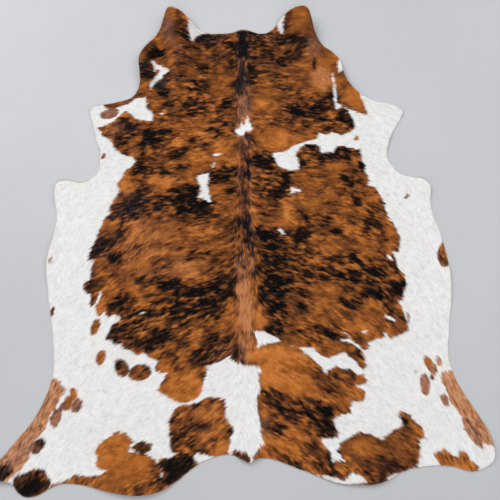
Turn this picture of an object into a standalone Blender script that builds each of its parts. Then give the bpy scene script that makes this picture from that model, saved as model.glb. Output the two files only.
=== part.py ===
"""A hair-on cowhide rug, spread out flat with its hair side up.

One sheet of leather, cut to the hide's own outline: a short neck at +Y, two front
legs, two flanks, two hind legs and a notch at the tail root at -Y. It lies flat on
z = 0 except for the soft folds that run down from the neck, and for a few low
swells and lifted edges. Metres, +Z up, origin under the middle of the sheet.
"""

import math
from collections import namedtuple

import bmesh
import bpy
import numpy as np
from mathutils import Vector, geometry, kdtree

THICKNESS = 0.004  # leather of 2 to 3 mm with the hair lying flat on it
RIM_STEP = 0.024  # between two points along the cut edge
BODY_STEP = 0.050  # between two points of the sheet where it lies flat
FOLD_STEP = 0.018  # and where it is folded
CREST_STEP = 0.020  # between two points along the top of a fold
SUPPORT_GAP = 0.62  # no inner point is nearer to another than this many steps
CURVE_STEPS = 8  # straight pieces in each curve between two stations

# The part of the sheet that holds the neck folds: lowest y, and furthest x each way.
FOLD_ZONE = (0.56, 0.64)

HAIR_COLOUR = (0.42, 0.13, 0.035, 1.0)
HAIR_ROUGHNESS = 0.55

# The cut edge, clockwise seen from above, as stations (x, y) joined by a smooth curve.
# y = 0 is halfway between the neck edge and the tail edge.
NECK_EDGE = (
    (-0.44, 1.170),
    (-0.40, 1.178),
    (-0.34, 1.152),
    (-0.30, 1.116),
    (-0.24, 1.076),
    (-0.17, 1.067),
    (-0.10, 1.074),
    (-0.03, 1.095),
    (0.05, 1.067),
    (0.10, 1.082),
    (0.15, 1.132),
    (0.19, 1.168),
    (0.25, 1.182),
    (0.30, 1.168),
)
RIGHT_SHOULDER = (
    (0.32, 1.125),
    (0.33, 1.070),
    (0.36, 1.010),
    (0.415, 0.963),
    (0.46, 0.890),
    (0.475, 0.815),
    (0.505, 0.748),
    (0.555, 0.702),
    (0.62, 0.673),
)
RIGHT_FRONT_LEG = (
    (0.69, 0.655),
    (0.735, 0.634),
    (0.765, 0.605),
    (0.745, 0.560),
    (0.71, 0.500),
    (0.68, 0.430),
    (0.67, 0.370),
    (0.685, 0.318),
    (0.725, 0.272),
    (0.785, 0.253),
)
RIGHT_FLANK = (
    (0.84, 0.240),
    (0.865, 0.200),
    (0.86, 0.130),
    (0.865, 0.065),
    (0.89, -0.020),
    (0.91, -0.135),
    (0.92, -0.245),
    (0.91, -0.360),
    (0.885, -0.515),
    (0.875, -0.610),
)
RIGHT_HIND_LEG = (
    (0.89, -0.690),
    (0.925, -0.765),
    (0.98, -0.860),
    (1.015, -0.935),
    (1.028, -1.000),
    (1.02, -1.045),
    (0.98, -1.075),
    (0.92, -1.087),
)
TAIL_EDGE = (
    (0.845, -1.067),
    (0.755, -1.066),
    (0.645, -1.085),
    (0.54, -1.134),
    (0.44, -1.138),
    (0.345, -1.127),
    (0.21, -1.079),
    (0.09, -1.038),
    (0.03, -1.039),
    (0.0, -1.054),
    (-0.035, -1.040),
    (-0.09, -1.020),
    (-0.18, -1.040),
    (-0.235, -1.073),
    (-0.305, -1.128),
    (-0.37, -1.166),
    (-0.46, -1.182),
    (-0.57, -1.170),
    (-0.69, -1.142),
)
LEFT_HIND_LEG = (
    (-0.78, -1.136),
    (-0.83, -1.155),
    (-0.875, -1.180),
    (-0.925, -1.188),
    (-0.96, -1.170),
    (-0.988, -1.135),
    (-1.025, -1.128),
    (-1.06, -1.120),
    (-1.075, -1.092),
    (-1.06, -1.060),
    (-1.03, -1.020),
    (-0.99, -0.965),
    (-0.94, -0.900),
    (-0.91, -0.850),
    (-0.885, -0.790),
)
LEFT_FLANK = (
    (-0.87, -0.740),
    (-0.86, -0.680),
    (-0.865, -0.600),
    (-0.88, -0.510),
    (-0.905, -0.385),
    (-0.925, -0.285),
    (-0.937, -0.200),
    (-0.935, -0.140),
    (-0.923, -0.045),
    (-0.914, 0.040),
    (-0.926, 0.110),
    (-0.935, 0.180),
)
LEFT_FRONT_LEG = (
    (-0.92, 0.224),
    (-0.88, 0.233),
    (-0.81, 0.225),
    (-0.76, 0.248),
    (-0.735, 0.290),
    (-0.733, 0.345),
    (-0.733, 0.390),
    (-0.75, 0.430),
    (-0.77, 0.490),
    (-0.79, 0.560),
    (-0.80, 0.600),
    (-0.785, 0.630),
    (-0.735, 0.646),
    (-0.68, 0.659),
    (-0.605, 0.682),
)
LEFT_SHOULDER = (
    (-0.568, 0.722),
    (-0.557, 0.770),
    (-0.56, 0.820),
    (-0.567, 0.870),
    (-0.564, 0.920),
    (-0.53, 0.975),
    (-0.493, 1.022),
    (-0.47, 1.075),
    (-0.459, 1.115),
)
OUTLINE = (
    NECK_EDGE
    + RIGHT_SHOULDER
    + RIGHT_FRONT_LEG
    + RIGHT_FLANK
    + RIGHT_HIND_LEG
    + TAIL_EDGE
    + LEFT_HIND_LEG
    + LEFT_FLANK
    + LEFT_FRONT_LEG
    + LEFT_SHOULDER
)

# A fold is a ridge along its crest. A station says where the crest passes, how far it
# rises there, and how far the ridge reaches to the left and right of its crest, seen
# from the neck edge looking down the sheet towards the tail (left is +X).
Crest = namedtuple("Crest", "x y rise left right")
LEFT_NECK_FOLD = (
    Crest(-0.415, 1.26, 0.082, 0.19, 0.075),
    Crest(-0.405, 1.15, 0.074, 0.18, 0.075),
    Crest(-0.395, 1.04, 0.064, 0.15, 0.085),
    Crest(-0.375, 0.93, 0.050, 0.13, 0.095),
    Crest(-0.360, 0.80, 0.030, 0.12, 0.095),
    Crest(-0.350, 0.67, 0.010, 0.11, 0.090),
    Crest(-0.345, 0.58, 0.000, 0.10, 0.090),
)
LEFT_EDGE_FOLD = (
    Crest(-0.480, 1.12, 0.014, 0.050, 0.050),
    Crest(-0.495, 1.03, 0.030, 0.060, 0.055),
    Crest(-0.530, 0.95, 0.040, 0.075, 0.060),
    Crest(-0.555, 0.86, 0.034, 0.085, 0.060),
    Crest(-0.550, 0.76, 0.018, 0.085, 0.060),
    Crest(-0.540, 0.66, 0.000, 0.080, 0.060),
)
RIGHT_NECK_FOLD = (
    Crest(0.285, 1.26, 0.086, 0.075, 0.19),
    Crest(0.285, 1.15, 0.080, 0.075, 0.18),
    Crest(0.295, 1.04, 0.070, 0.080, 0.16),
    Crest(0.320, 0.92, 0.056, 0.085, 0.15),
    Crest(0.350, 0.80, 0.038, 0.070, 0.15),
    Crest(0.385, 0.68, 0.016, 0.060, 0.14),
    Crest(0.405, 0.59, 0.000, 0.060, 0.12),
)
RIGHT_EDGE_FOLD = (
    Crest(0.445, 0.95, 0.010, 0.050, 0.045),
    Crest(0.465, 0.87, 0.026, 0.060, 0.055),
    Crest(0.495, 0.77, 0.030, 0.070, 0.065),
    Crest(0.545, 0.67, 0.018, 0.070, 0.075),
    Crest(0.590, 0.60, 0.000, 0.060, 0.070),
)
FOLDS = (LEFT_NECK_FOLD, LEFT_EDGE_FOLD, RIGHT_NECK_FOLD, RIGHT_EDGE_FOLD)

# Low swells: centre, height, and how far each reaches along and across the direction
# in which it lies (turn, in degrees from +X). One whose centre is past the cut edge
# lifts that edge.
Swell = namedtuple("Swell", "x y rise along across turn")
SWELLS = (
    Swell(-0.84, 0.66, 0.012, 0.16, 0.12, 20),  # left front leg's tip
    Swell(0.80, 0.66, 0.012, 0.15, 0.12, -25),  # right front leg's tip
    Swell(-0.98, 0.22, 0.014, 0.20, 0.14, -40),  # left elbow
    Swell(0.92, 0.24, 0.012, 0.18, 0.13, 35),  # right elbow
    Swell(-0.99, -0.17, 0.014, 0.26, 0.12, 90),  # left belly's edge
    Swell(0.99, -0.27, 0.013, 0.28, 0.13, 88),  # right belly's edge
    Swell(0.62, 0.49, 0.010, 0.17, 0.075, -62),  # from the right shoulder to its leg
    Swell(-0.66, 0.50, 0.009, 0.17, 0.080, 66),  # from the left shoulder to its leg
    Swell(-0.74, -0.06, 0.007, 0.22, 0.050, 4),  # two soft creases on the left belly
    Swell(-0.76, -0.18, 0.006, 0.20, 0.045, -5),
    Swell(0.74, -0.50, 0.007, 0.20, 0.050, 84),  # a crease on the right thigh
    Swell(0.69, -0.82, 0.006, 0.11, 0.050, 30),  # and one lower on it
    Swell(-0.68, -0.89, 0.006, 0.13, 0.050, 5),  # a crease on the left thigh
    Swell(0.70, 0.00, 0.006, 0.30, 0.110, 75),  # broad rises beside the right ribs
    Swell(-0.60, -0.50, 0.005, 0.26, 0.120, 100),  # and the left loin
    Swell(-1.10, -1.15, 0.018, 0.22, 0.14, 48),  # left hind leg's end
    Swell(1.10, -1.00, 0.016, 0.22, 0.13, -62),  # right hind leg's end
    Swell(-0.47, -1.24, 0.018, 0.34, 0.15, 2),  # left lobe of the tail edge
    Swell(0.47, -1.21, 0.017, 0.34, 0.15, 6),  # right lobe of the tail edge
    Swell(0.0, -1.02, 0.012, 0.07, 0.13, 0),  # the tail root, which stays creased
)


def smooth_line(stations, closed):
    """Points along a Catmull-Rom curve through the stations, in their own columns."""
    rows = np.array(stations, float)
    count = len(rows)
    spans = count if closed else count - 1
    line = []
    for i in range(spans):
        if closed:
            before, start, end, after = (rows[(i + k) % count] for k in (-1, 0, 1, 2))
        else:
            before, start, end, after = (
                rows[min(max(i + k, 0), count - 1)] for k in (-1, 0, 1, 2)
            )
        for step in range(CURVE_STEPS):
            t = step / CURVE_STEPS
            line.append(
                0.5
                * (
                    2 * start
                    + (end - before) * t
                    + (2 * before - 5 * start + 4 * end - after) * t**2
                    + (3 * start - before - 3 * end + after) * t**3
                )
            )
    if not closed:
        line.append(rows[-1])
    return np.array(line)


def evenly_spaced(line, step, closed):
    """The same curve, with points about one step apart."""
    loop = np.vstack([line, line[:1]]) if closed else line
    gaps = np.hypot(*np.diff(loop[:, :2], axis=0).T)
    reached = np.concatenate([[0.0], np.cumsum(gaps)])
    count = max(2, round(reached[-1] / step))
    wanted = np.linspace(0.0, reached[-1], count + 1)
    if closed:
        wanted = wanted[:-1]
    columns = [np.interp(wanted, reached, column) for column in loop.T]
    return np.array(columns).T


def bump(distance):
    """1 at distance 0, falling smoothly to 0 at distance 1 and flat beyond it."""
    return np.clip(1.0 - distance**2, 0.0, None) ** 2


def fold_height(fold, x, y):
    """How far one fold lifts the sheet at the points x, y."""
    crest = smooth_line(fold, closed=False)
    nearest = np.full(x.shape, np.inf)
    height = np.zeros(x.shape)
    for start, end in zip(crest[:-1], crest[1:]):
        run_x, run_y = end[:2] - start[:2]
        off_x = x - start[0]
        off_y = y - start[1]
        length = run_x**2 + run_y**2
        t = np.clip((off_x * run_x + off_y * run_y) / length, 0.0, 1.0)
        side = run_x * off_y - run_y * off_x
        distance = np.hypot(off_x - t * run_x, off_y - t * run_y)
        rise = start[2] + t * (end[2] - start[2])
        reach = np.where(
            side > 0.0,
            start[3] + t * (end[3] - start[3]),
            start[4] + t * (end[4] - start[4]),
        )
        closer = distance < nearest
        height = np.where(closer, rise * bump(distance / reach), height)
        nearest = np.minimum(distance, nearest)
    return height


def swell_height(swell, x, y):
    """How far one swell lifts the sheet at the points x, y."""
    turn = math.radians(swell.turn)
    off_x = x - swell.x
    off_y = y - swell.y
    along = (off_x * math.cos(turn) + off_y * math.sin(turn)) / swell.along
    across = (off_y * math.cos(turn) - off_x * math.sin(turn)) / swell.across
    return swell.rise * bump(np.hypot(along, across))


def underside_height(x, y):
    """Height of the leather's underside above the surface that it lies on."""
    height = np.zeros(x.shape)
    for fold in FOLDS:
        height += fold_height(fold, x, y)
    for swell in SWELLS:
        height += swell_height(swell, x, y)
    return height


def inside(rim, x, y):
    """Which of the points x, y lie inside the closed line rim."""
    odd = np.zeros(x.shape, bool)
    for start, end in zip(rim, np.roll(rim, -1, axis=0)):
        spans = (start[1] > y) != (end[1] > y)
        drop = end[1] - start[1]
        if drop:
            odd ^= spans & (x < start[0] + (y - start[1]) / drop * (end[0] - start[0]))
    return odd


def grid_points(rim, step, in_fold_zone):
    """A honeycomb of points inside the rim, in the fold zone or outside it."""
    low = rim.min(axis=0)
    high = rim.max(axis=0)
    row_step = step * math.sqrt(3) / 2
    rows = int((high[1] - low[1]) / row_step) + 1
    columns = int((high[0] - low[0]) / step) + 1
    row, column = np.meshgrid(np.arange(rows), np.arange(columns), indexing="ij")
    x = low[0] + step * (column + 0.5 * (row % 2)).ravel()
    y = low[1] + row_step * row.ravel()
    in_zone = (y > FOLD_ZONE[0]) & (np.abs(x) < FOLD_ZONE[1])
    keep = inside(rim, x, y) & (in_zone == in_fold_zone)
    return np.column_stack([x, y])[keep]


def well_apart(groups):
    """All points of the groups, leaving out any too near to one taken before it."""
    taken = []
    for points, gap in groups:
        tree = kdtree.KDTree(len(taken))
        for i, point in enumerate(taken):
            tree.insert((*point, 0.0), i)
        tree.balance()
        fresh = [p for p in points if not taken or tree.find((*p, 0.0))[2] >= gap]
        taken += fresh
    return taken


def sheet_plan(rim):
    """The sheet's points seen from above: the rim first, then crests, then grids."""
    groups = [(list(map(tuple, rim)), 0.0)]
    for fold in FOLDS:
        line = evenly_spaced(smooth_line(fold, closed=False), CREST_STEP, closed=False)
        kept = line[inside(rim, line[:, 0], line[:, 1])][:, :2]
        groups.append((list(map(tuple, kept)), SUPPORT_GAP * CREST_STEP))
    for step, in_fold_zone in ((FOLD_STEP, True), (BODY_STEP, False)):
        points = grid_points(rim, step, in_fold_zone)
        groups.append((list(map(tuple, points)), SUPPORT_GAP * step))
    return well_apart(groups)


def hide_material():
    """Orange-brown hair, the colour that covers most of the hide."""
    material = bpy.data.materials.new("hide")
    material.use_nodes = True
    shader = material.node_tree.nodes["Principled BSDF"]
    shader.inputs["Base Color"].default_value = HAIR_COLOUR
    shader.inputs["Roughness"].default_value = HAIR_ROUGHNESS
    shader.inputs["Metallic"].default_value = 0.0
    return material


def build_hide():
    """The hide: its underside as a triangulated sheet, thickened upwards."""
    outline = smooth_line(OUTLINE, closed=True)
    rim = evenly_spaced(outline, RIM_STEP, closed=True)
    plan = [Vector(point) for point in sheet_plan(rim)]
    rim_face = list(range(len(rim)))
    inside_only = 1
    points, _, faces, *_ = geometry.delaunay_2d_cdt(
        plan, [], [rim_face], inside_only, 1e-6
    )
    flat = np.array(points)
    height = underside_height(flat[:, 0], flat[:, 1])
    middle = (flat.min(axis=0) + flat.max(axis=0)) / 2

    sheet = bmesh.new()
    for (x, y), z in zip(flat - middle, height):
        sheet.verts.new((x, y, z))
    sheet.verts.ensure_lookup_table()
    for face in faces:
        sheet.faces.new([sheet.verts[i] for i in face])
    bmesh.ops.recalc_face_normals(sheet, faces=sheet.faces)
    if sum(face.normal.z for face in sheet.faces) < 0.0:
        bmesh.ops.reverse_faces(sheet, faces=sheet.faces)
    mesh = bpy.data.meshes.new("hide")
    sheet.to_mesh(mesh)
    sheet.free()
    mesh.materials.append(hide_material())
    mesh.shade_smooth()

    hide = bpy.data.objects.new("hide", mesh)
    bpy.context.scene.collection.objects.link(hide)
    leather = hide.modifiers.new("thickness", "SOLIDIFY")
    leather.thickness = THICKNESS
    leather.offset = 1.0
    return hide


def main():
    for thing in list(bpy.data.objects):
        bpy.data.objects.remove(thing)
    build_hide()


main()
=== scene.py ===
"""Looks for the cowhide rug: its leather sheet, its coat of hair, the floor and light.

The leather repeats the outline, folds and swells of the CAD sheet, on a finer mesh and
with small creases. The coat is over 800,000 flat locks of hair, laid along the growth of the
hair and coloured by the hide's markings. Metres, +Z up, neck at +Y.
"""

import math
from collections import namedtuple

import bpy
import numpy as np
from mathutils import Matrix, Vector, geometry, kdtree

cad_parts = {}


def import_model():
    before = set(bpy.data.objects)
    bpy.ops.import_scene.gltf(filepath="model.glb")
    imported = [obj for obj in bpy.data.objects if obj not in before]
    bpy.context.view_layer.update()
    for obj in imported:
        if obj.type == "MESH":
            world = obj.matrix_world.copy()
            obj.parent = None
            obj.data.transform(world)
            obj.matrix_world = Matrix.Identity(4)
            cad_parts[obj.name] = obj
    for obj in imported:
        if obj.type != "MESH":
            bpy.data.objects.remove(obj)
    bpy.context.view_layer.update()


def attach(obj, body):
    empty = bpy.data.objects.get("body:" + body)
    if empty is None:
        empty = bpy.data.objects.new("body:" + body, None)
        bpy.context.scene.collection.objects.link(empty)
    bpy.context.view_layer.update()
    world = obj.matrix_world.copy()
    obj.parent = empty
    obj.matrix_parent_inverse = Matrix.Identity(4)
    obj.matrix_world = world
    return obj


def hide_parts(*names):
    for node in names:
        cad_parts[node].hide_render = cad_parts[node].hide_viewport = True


LEATHER = 0.0026  # thickness of the leather itself
RIM_STEP = 0.008  # between two points along the cut edge
BODY_STEP = 0.0125  # between two points of the sheet
CREST_STEP = 0.010  # between two points along the top of a fold
CREST_END = 0.004  # the folds' own points end this far inside the edge
SUPPORT_GAP = 0.62  # no inner point is nearer to another than this many steps
CURVE_STEPS = 8  # straight pieces in each curve between two stations
CAD_RIM_STEP = 0.024  # the CAD sheet's own rim step, which sets its middle
EDGE_WAVE = 0.0016  # how unevenly the edge is cut,
EDGE_WAVES = ((0.030, 61), (0.011, 62))  # in two waves: their length and noise seed
SUEDE_RIM = 0.003  # bare leather shows on this much of the hair side at the edge

# ---------------------------------------------------------------- the CAD sheet's shape
# The cut edge, clockwise seen from above, as stations (x, y) joined by a smooth curve.
# y = 0 is halfway between the neck edge and the tail edge.
NECK_EDGE = (
    (-0.44, 1.170), (-0.40, 1.178), (-0.34, 1.152), (-0.30, 1.116), (-0.24, 1.076),
    (-0.17, 1.067), (-0.10, 1.074), (-0.03, 1.095), (0.05, 1.067), (0.10, 1.082),
    (0.15, 1.132), (0.19, 1.168), (0.25, 1.182), (0.30, 1.168),
)
RIGHT_SHOULDER = (
    (0.32, 1.125), (0.33, 1.070), (0.36, 1.010), (0.415, 0.963), (0.46, 0.890),
    (0.475, 0.815), (0.505, 0.748), (0.555, 0.702), (0.62, 0.673),
)
RIGHT_FRONT_LEG = (
    (0.69, 0.655), (0.735, 0.634), (0.765, 0.605), (0.745, 0.560), (0.71, 0.500),
    (0.68, 0.430), (0.67, 0.370), (0.685, 0.318), (0.725, 0.272), (0.785, 0.253),
)
RIGHT_FLANK = (
    (0.84, 0.240), (0.865, 0.200), (0.86, 0.130), (0.865, 0.065), (0.89, -0.020),
    (0.91, -0.135), (0.92, -0.245), (0.91, -0.360), (0.885, -0.515), (0.875, -0.610),
)
RIGHT_HIND_LEG = (
    (0.89, -0.690), (0.925, -0.765), (0.98, -0.860), (1.015, -0.935), (1.028, -1.000),
    (1.02, -1.045), (0.98, -1.075), (0.92, -1.087),
)
TAIL_EDGE = (
    (0.845, -1.067), (0.755, -1.066), (0.645, -1.085), (0.54, -1.134), (0.44, -1.138),
    (0.345, -1.127), (0.21, -1.079), (0.09, -1.038), (0.03, -1.039), (0.0, -1.054),
    (-0.035, -1.040), (-0.09, -1.020), (-0.18, -1.040), (-0.235, -1.073), (-0.305, -1.128),
    (-0.37, -1.166), (-0.46, -1.182), (-0.57, -1.170), (-0.69, -1.142),
)
LEFT_HIND_LEG = (
    (-0.78, -1.136), (-0.83, -1.155), (-0.875, -1.180), (-0.925, -1.188), (-0.96, -1.170),
    (-0.988, -1.135), (-1.025, -1.128), (-1.06, -1.120), (-1.075, -1.092), (-1.06, -1.060),
    (-1.03, -1.020), (-0.99, -0.965), (-0.94, -0.900), (-0.91, -0.850), (-0.885, -0.790),
)
LEFT_FLANK = (
    (-0.87, -0.740), (-0.86, -0.680), (-0.865, -0.600), (-0.88, -0.510), (-0.905, -0.385),
    (-0.925, -0.285), (-0.937, -0.200), (-0.935, -0.140), (-0.923, -0.045),
    (-0.914, 0.040), (-0.926, 0.110), (-0.935, 0.180),
)
LEFT_FRONT_LEG = (
    (-0.92, 0.224), (-0.88, 0.233), (-0.81, 0.225), (-0.76, 0.248), (-0.735, 0.290),
    (-0.733, 0.345), (-0.733, 0.390), (-0.75, 0.430), (-0.77, 0.490), (-0.79, 0.560),
    (-0.80, 0.600), (-0.785, 0.630), (-0.735, 0.646), (-0.68, 0.659), (-0.605, 0.682),
)
LEFT_SHOULDER = (
    (-0.568, 0.722), (-0.557, 0.770), (-0.56, 0.820), (-0.567, 0.870), (-0.564, 0.920),
    (-0.53, 0.975), (-0.493, 1.022), (-0.47, 1.075), (-0.459, 1.115),
)
RIGHT_SIDE = RIGHT_SHOULDER + RIGHT_FRONT_LEG + RIGHT_FLANK + RIGHT_HIND_LEG
LEFT_SIDE = LEFT_HIND_LEG + LEFT_FLANK + LEFT_FRONT_LEG + LEFT_SHOULDER
OUTLINE = NECK_EDGE + RIGHT_SIDE + TAIL_EDGE + LEFT_SIDE

# Folds: the x and y that the crest passes, its rise, and its reach left and right.
LEFT_NECK_FOLD = (
    (-0.415, 1.26, 0.082, 0.19, 0.075),
    (-0.405, 1.15, 0.074, 0.18, 0.075),
    (-0.395, 1.04, 0.064, 0.15, 0.085),
    (-0.375, 0.93, 0.050, 0.13, 0.095),
    (-0.360, 0.80, 0.030, 0.12, 0.095),
    (-0.350, 0.67, 0.010, 0.11, 0.090),
    (-0.345, 0.58, 0.000, 0.10, 0.090),
)
LEFT_EDGE_FOLD = (
    (-0.480, 1.12, 0.014, 0.050, 0.050),
    (-0.495, 1.03, 0.030, 0.060, 0.055),
    (-0.530, 0.95, 0.040, 0.075, 0.060),
    (-0.555, 0.86, 0.034, 0.085, 0.060),
    (-0.550, 0.76, 0.018, 0.085, 0.060),
    (-0.540, 0.66, 0.000, 0.080, 0.060),
)
RIGHT_NECK_FOLD = (
    (0.285, 1.26, 0.086, 0.075, 0.19),
    (0.285, 1.15, 0.080, 0.075, 0.18),
    (0.295, 1.04, 0.070, 0.080, 0.16),
    (0.320, 0.92, 0.056, 0.085, 0.15),
    (0.350, 0.80, 0.038, 0.070, 0.15),
    (0.385, 0.68, 0.016, 0.060, 0.14),
    (0.405, 0.59, 0.000, 0.060, 0.12),
)
RIGHT_EDGE_FOLD = (
    (0.445, 0.95, 0.010, 0.050, 0.045),
    (0.465, 0.87, 0.026, 0.060, 0.055),
    (0.495, 0.77, 0.030, 0.070, 0.065),
    (0.545, 0.67, 0.018, 0.070, 0.075),
    (0.590, 0.60, 0.000, 0.060, 0.070),
)
FOLDS = (LEFT_NECK_FOLD, LEFT_EDGE_FOLD, RIGHT_NECK_FOLD, RIGHT_EDGE_FOLD)

# Low swells: centre, height, reach along and across the direction turn, in degrees.
Swell = namedtuple("Swell", "x y rise along across turn")
SWELLS = (
    Swell(-0.84, 0.66, 0.012, 0.16, 0.12, 20),  # left front leg's tip
    Swell(0.80, 0.66, 0.012, 0.15, 0.12, -25),  # right front leg's tip
    Swell(-0.98, 0.22, 0.014, 0.20, 0.14, -40),  # left elbow
    Swell(0.92, 0.24, 0.012, 0.18, 0.13, 35),  # right elbow
    Swell(-0.99, -0.17, 0.014, 0.26, 0.12, 90),  # left belly's edge
    Swell(0.99, -0.27, 0.013, 0.28, 0.13, 88),  # right belly's edge
    Swell(0.62, 0.49, 0.010, 0.17, 0.075, -62),  # from the right shoulder to its leg
    Swell(-0.66, 0.50, 0.009, 0.17, 0.080, 66),  # from the left shoulder to its leg
    Swell(-0.74, -0.06, 0.007, 0.22, 0.050, 4),  # two soft creases on the left belly
    Swell(-0.76, -0.18, 0.006, 0.20, 0.045, -5),
    Swell(0.74, -0.50, 0.007, 0.20, 0.050, 84),  # a crease on the right thigh
    Swell(0.69, -0.82, 0.006, 0.11, 0.050, 30),  # and one lower on it
    Swell(-0.68, -0.89, 0.006, 0.13, 0.050, 5),  # a crease on the left thigh
    Swell(0.70, 0.00, 0.006, 0.30, 0.110, 75),  # broad rises beside the right ribs
    Swell(-0.60, -0.50, 0.005, 0.26, 0.120, 100),  # and the left loin
    Swell(-1.10, -1.15, 0.018, 0.22, 0.14, 48),  # left hind leg's end
    Swell(1.10, -1.00, 0.016, 0.22, 0.13, -62),  # right hind leg's end
    Swell(-0.47, -1.24, 0.018, 0.34, 0.15, 2),  # left lobe of the tail edge
    Swell(0.47, -1.21, 0.017, 0.34, 0.15, 6),  # right lobe of the tail edge
    Swell(0.0, -1.02, 0.012, 0.07, 0.13, 0),  # the tail root, which stays creased
)

# Small creases that only this finer sheet has, in the same columns.
CREASES = (
    Swell(-0.02, 0.45, 0.0016, 0.62, 0.022, 91),  # the backbone's soft ridge
    Swell(-0.02, -0.35, 0.0014, 0.55, 0.024, 91),
    Swell(0.055, 1.02, 0.0040, 0.12, 0.030, 80),  # pulls at the neck edge
    Swell(-0.16, 1.02, 0.0035, 0.12, 0.028, 98),
    Swell(0.70, 0.45, 0.0040, 0.13, 0.022, -70),  # along the right front leg
    Swell(-0.71, 0.45, 0.0035, 0.12, 0.022, 68),
    Swell(0.83, -0.42, 0.0035, 0.20, 0.020, 84),  # along the right flank
    Swell(0.80, -0.14, 0.0030, 0.16, 0.024, 80),
    Swell(-0.82, -0.30, 0.0030, 0.18, 0.024, 92),
    Swell(-0.80, -0.62, 0.0030, 0.16, 0.022, 84),
    Swell(0.74, -0.72, 0.0030, 0.13, 0.022, 66),
    Swell(-0.76, -0.84, 0.0028, 0.12, 0.022, 40),
    Swell(0.04, -1.00, 0.0035, 0.08, 0.020, 72),  # each side of the tail root
    Swell(-0.05, -0.99, 0.0035, 0.08, 0.020, 104),
)

# ------------------------------------------------------------------- the hide's markings
# All in centimetres in the same frame: x to the right with the neck up, y to the neck.
# The ground is white. A patch is a closed line of corners.
BODY = (
    # left side, from the neck down to the rump
    (-62, 96), (-60, 72), (-65, 68), (-73, 66), (-73, 63), (-69, 61.5), (-61, 65),
    (-57, 68.5), (-53, 68.5), (-51.5, 65), (-52, 63), (-49.5, 61), (-48, 58),
    (-48.5, 55.5), (-56, 56), (-61.5, 61), (-64.5, 59), (-67, 55.5), (-75, 51.5),
    (-73.5, 48), (-68, 44), (-67, 41), (-61.5, 36.5), (-56.5, 35.5), (-55.5, 32.5),
    (-60, 28.5), (-64, 21), (-62, 18.5), (-64.5, 14), (-67, 8), (-66.5, 6),
    (-69, 3), (-70.5, -2.5), (-73, -9.5), (-75, -14), (-74.5, -17), (-72, -17),
    (-73, -23), (-73, -26.5), (-74.5, -26.5), (-76, -29.5), (-74.5, -32.5),
    (-72.5, -33), (-72.5, -37), (-71.5, -38.5), (-70, -37.5), (-68, -31.5),
    (-67, -32), (-69.5, -39), (-69, -42), (-68, -43), (-65.5, -41.5), (-63, -43.5),
    (-60.5, -42), (-57.5, -44), (-62, -47.5), (-64, -53.5), (-61.5, -54),
    (-59.5, -56.5), (-57, -54.5), (-57, -57), (-52.5, -58.5), (-49.5, -60.5),
    (-46, -59.5), (-44, -61.5), (-40, -63.5), (-42, -65.5), (-41, -67.5),
    (-36.5, -68.5), (-39.5, -74), (-39.5, -76), (-34, -79.5), (-29, -81),
    (-26, -80), (-22.5, -79), (-21, -76.5), (-18.5, -66.5), (-20, -65),
    (-16, -64.5), (-9.5, -61), (-7.5, -63), (-2, -65), (3, -65),
    # right side, from the rump up to the shoulder
    (5, -60), (4, -57), (3.5, -52.5), (2, -50), (6, -50), (13.5, -54), (15, -56), (21, -57),
    (27.5, -57), (31.5, -61), (35, -61.5), (41, -59), (46, -63), (49, -66.5),
    (51, -65.5), (50.5, -61.5), (49, -58), (45.5, -55.5), (40, -54), (44, -53),
    (43.5, -51.5), (41, -51), (44, -50.5), (44.5, -54), (51, -58.5), (53, -56),
    (52, -54.5), (59.5, -53), (59.5, -50.5), (61, -51), (62.5, -53), (66.5, -52),
    (71, -49), (68.5, -38.5), (67, -35.5), (69, -35.5), (71.5, -28.5), (71, -24),
    (69, -22), (66, -13), (68.5, -13), (69.5, -8.5), (70, -5.5), (66, 3.5),
    (64, 8), (64, 11.5), (60.5, 19.5), (56.5, 21), (57.5, 24), (55.5, 28),
    (56, 31.5), (54.5, 34), (54, 40), (49, 40.5), (44.5, 42), (41.5, 40.5),
    (40.5, 38), (35, 38), (34.5, 41.5), (32, 43), (26, 43), (27, 43.8),
    (32.5, 44.5), (34, 49), (37, 47.5), (40, 49), (45, 47.5), (51, 50.5),
    (52, 53), (51.5, 55.5), (50.5, 58), (49, 61), (47.5, 63), (45, 63), (43, 62),
    # the white line in the right neck's crease, then the flap outside it
    (42.5, 65), (42, 70), (42, 75.5), (41.5, 80), (42, 83.5), (42.5, 81),
    (43, 77), (43.5, 72.5), (43.5, 66), (45, 64), (48, 63), (53, 60.5),
    (58.5, 58.5), (58.5, 59.5), (57, 64), (55.5, 67.5), (55, 71),
    (60, 90), (46, 110), (36, 125), (-52, 125), (-62, 108),
)
RIGHT_RUMP = (
    (5.5, -55.5), (13.5, -54), (21, -57), (24, -59.5), (28, -62.5), (33, -68),
    (35.5, -66.5), (37.5, -65), (40.5, -66.5), (44, -66.5), (46.5, -69), (49, -68.5),
    (51, -71), (50, -73), (46.5, -73.5), (50, -75.5), (49, -80), (46.5, -80.5),
    (44, -80), (43, -82.5), (43.5, -85.5), (38.5, -86), (35.5, -88), (37.5, -93),
    (37, -95), (34.5, -95.5), (30.5, -95.5), (30, -96.5), (31, -98.5), (34, -101),
    (34, -105), (40, -105), (43, -109), (44, -120), (0, -120), (1, -105.5),
    (1.5, -102.5), (3.5, -99.5), (6, -97.5), (5, -94.5), (4, -87), (3, -81.5),
    (3, -78), (4.5, -75.5), (3.5, -69), (5, -67), (2, -64.5), (1, -63.5),
    (2, -59), (3, -57),
)
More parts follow.
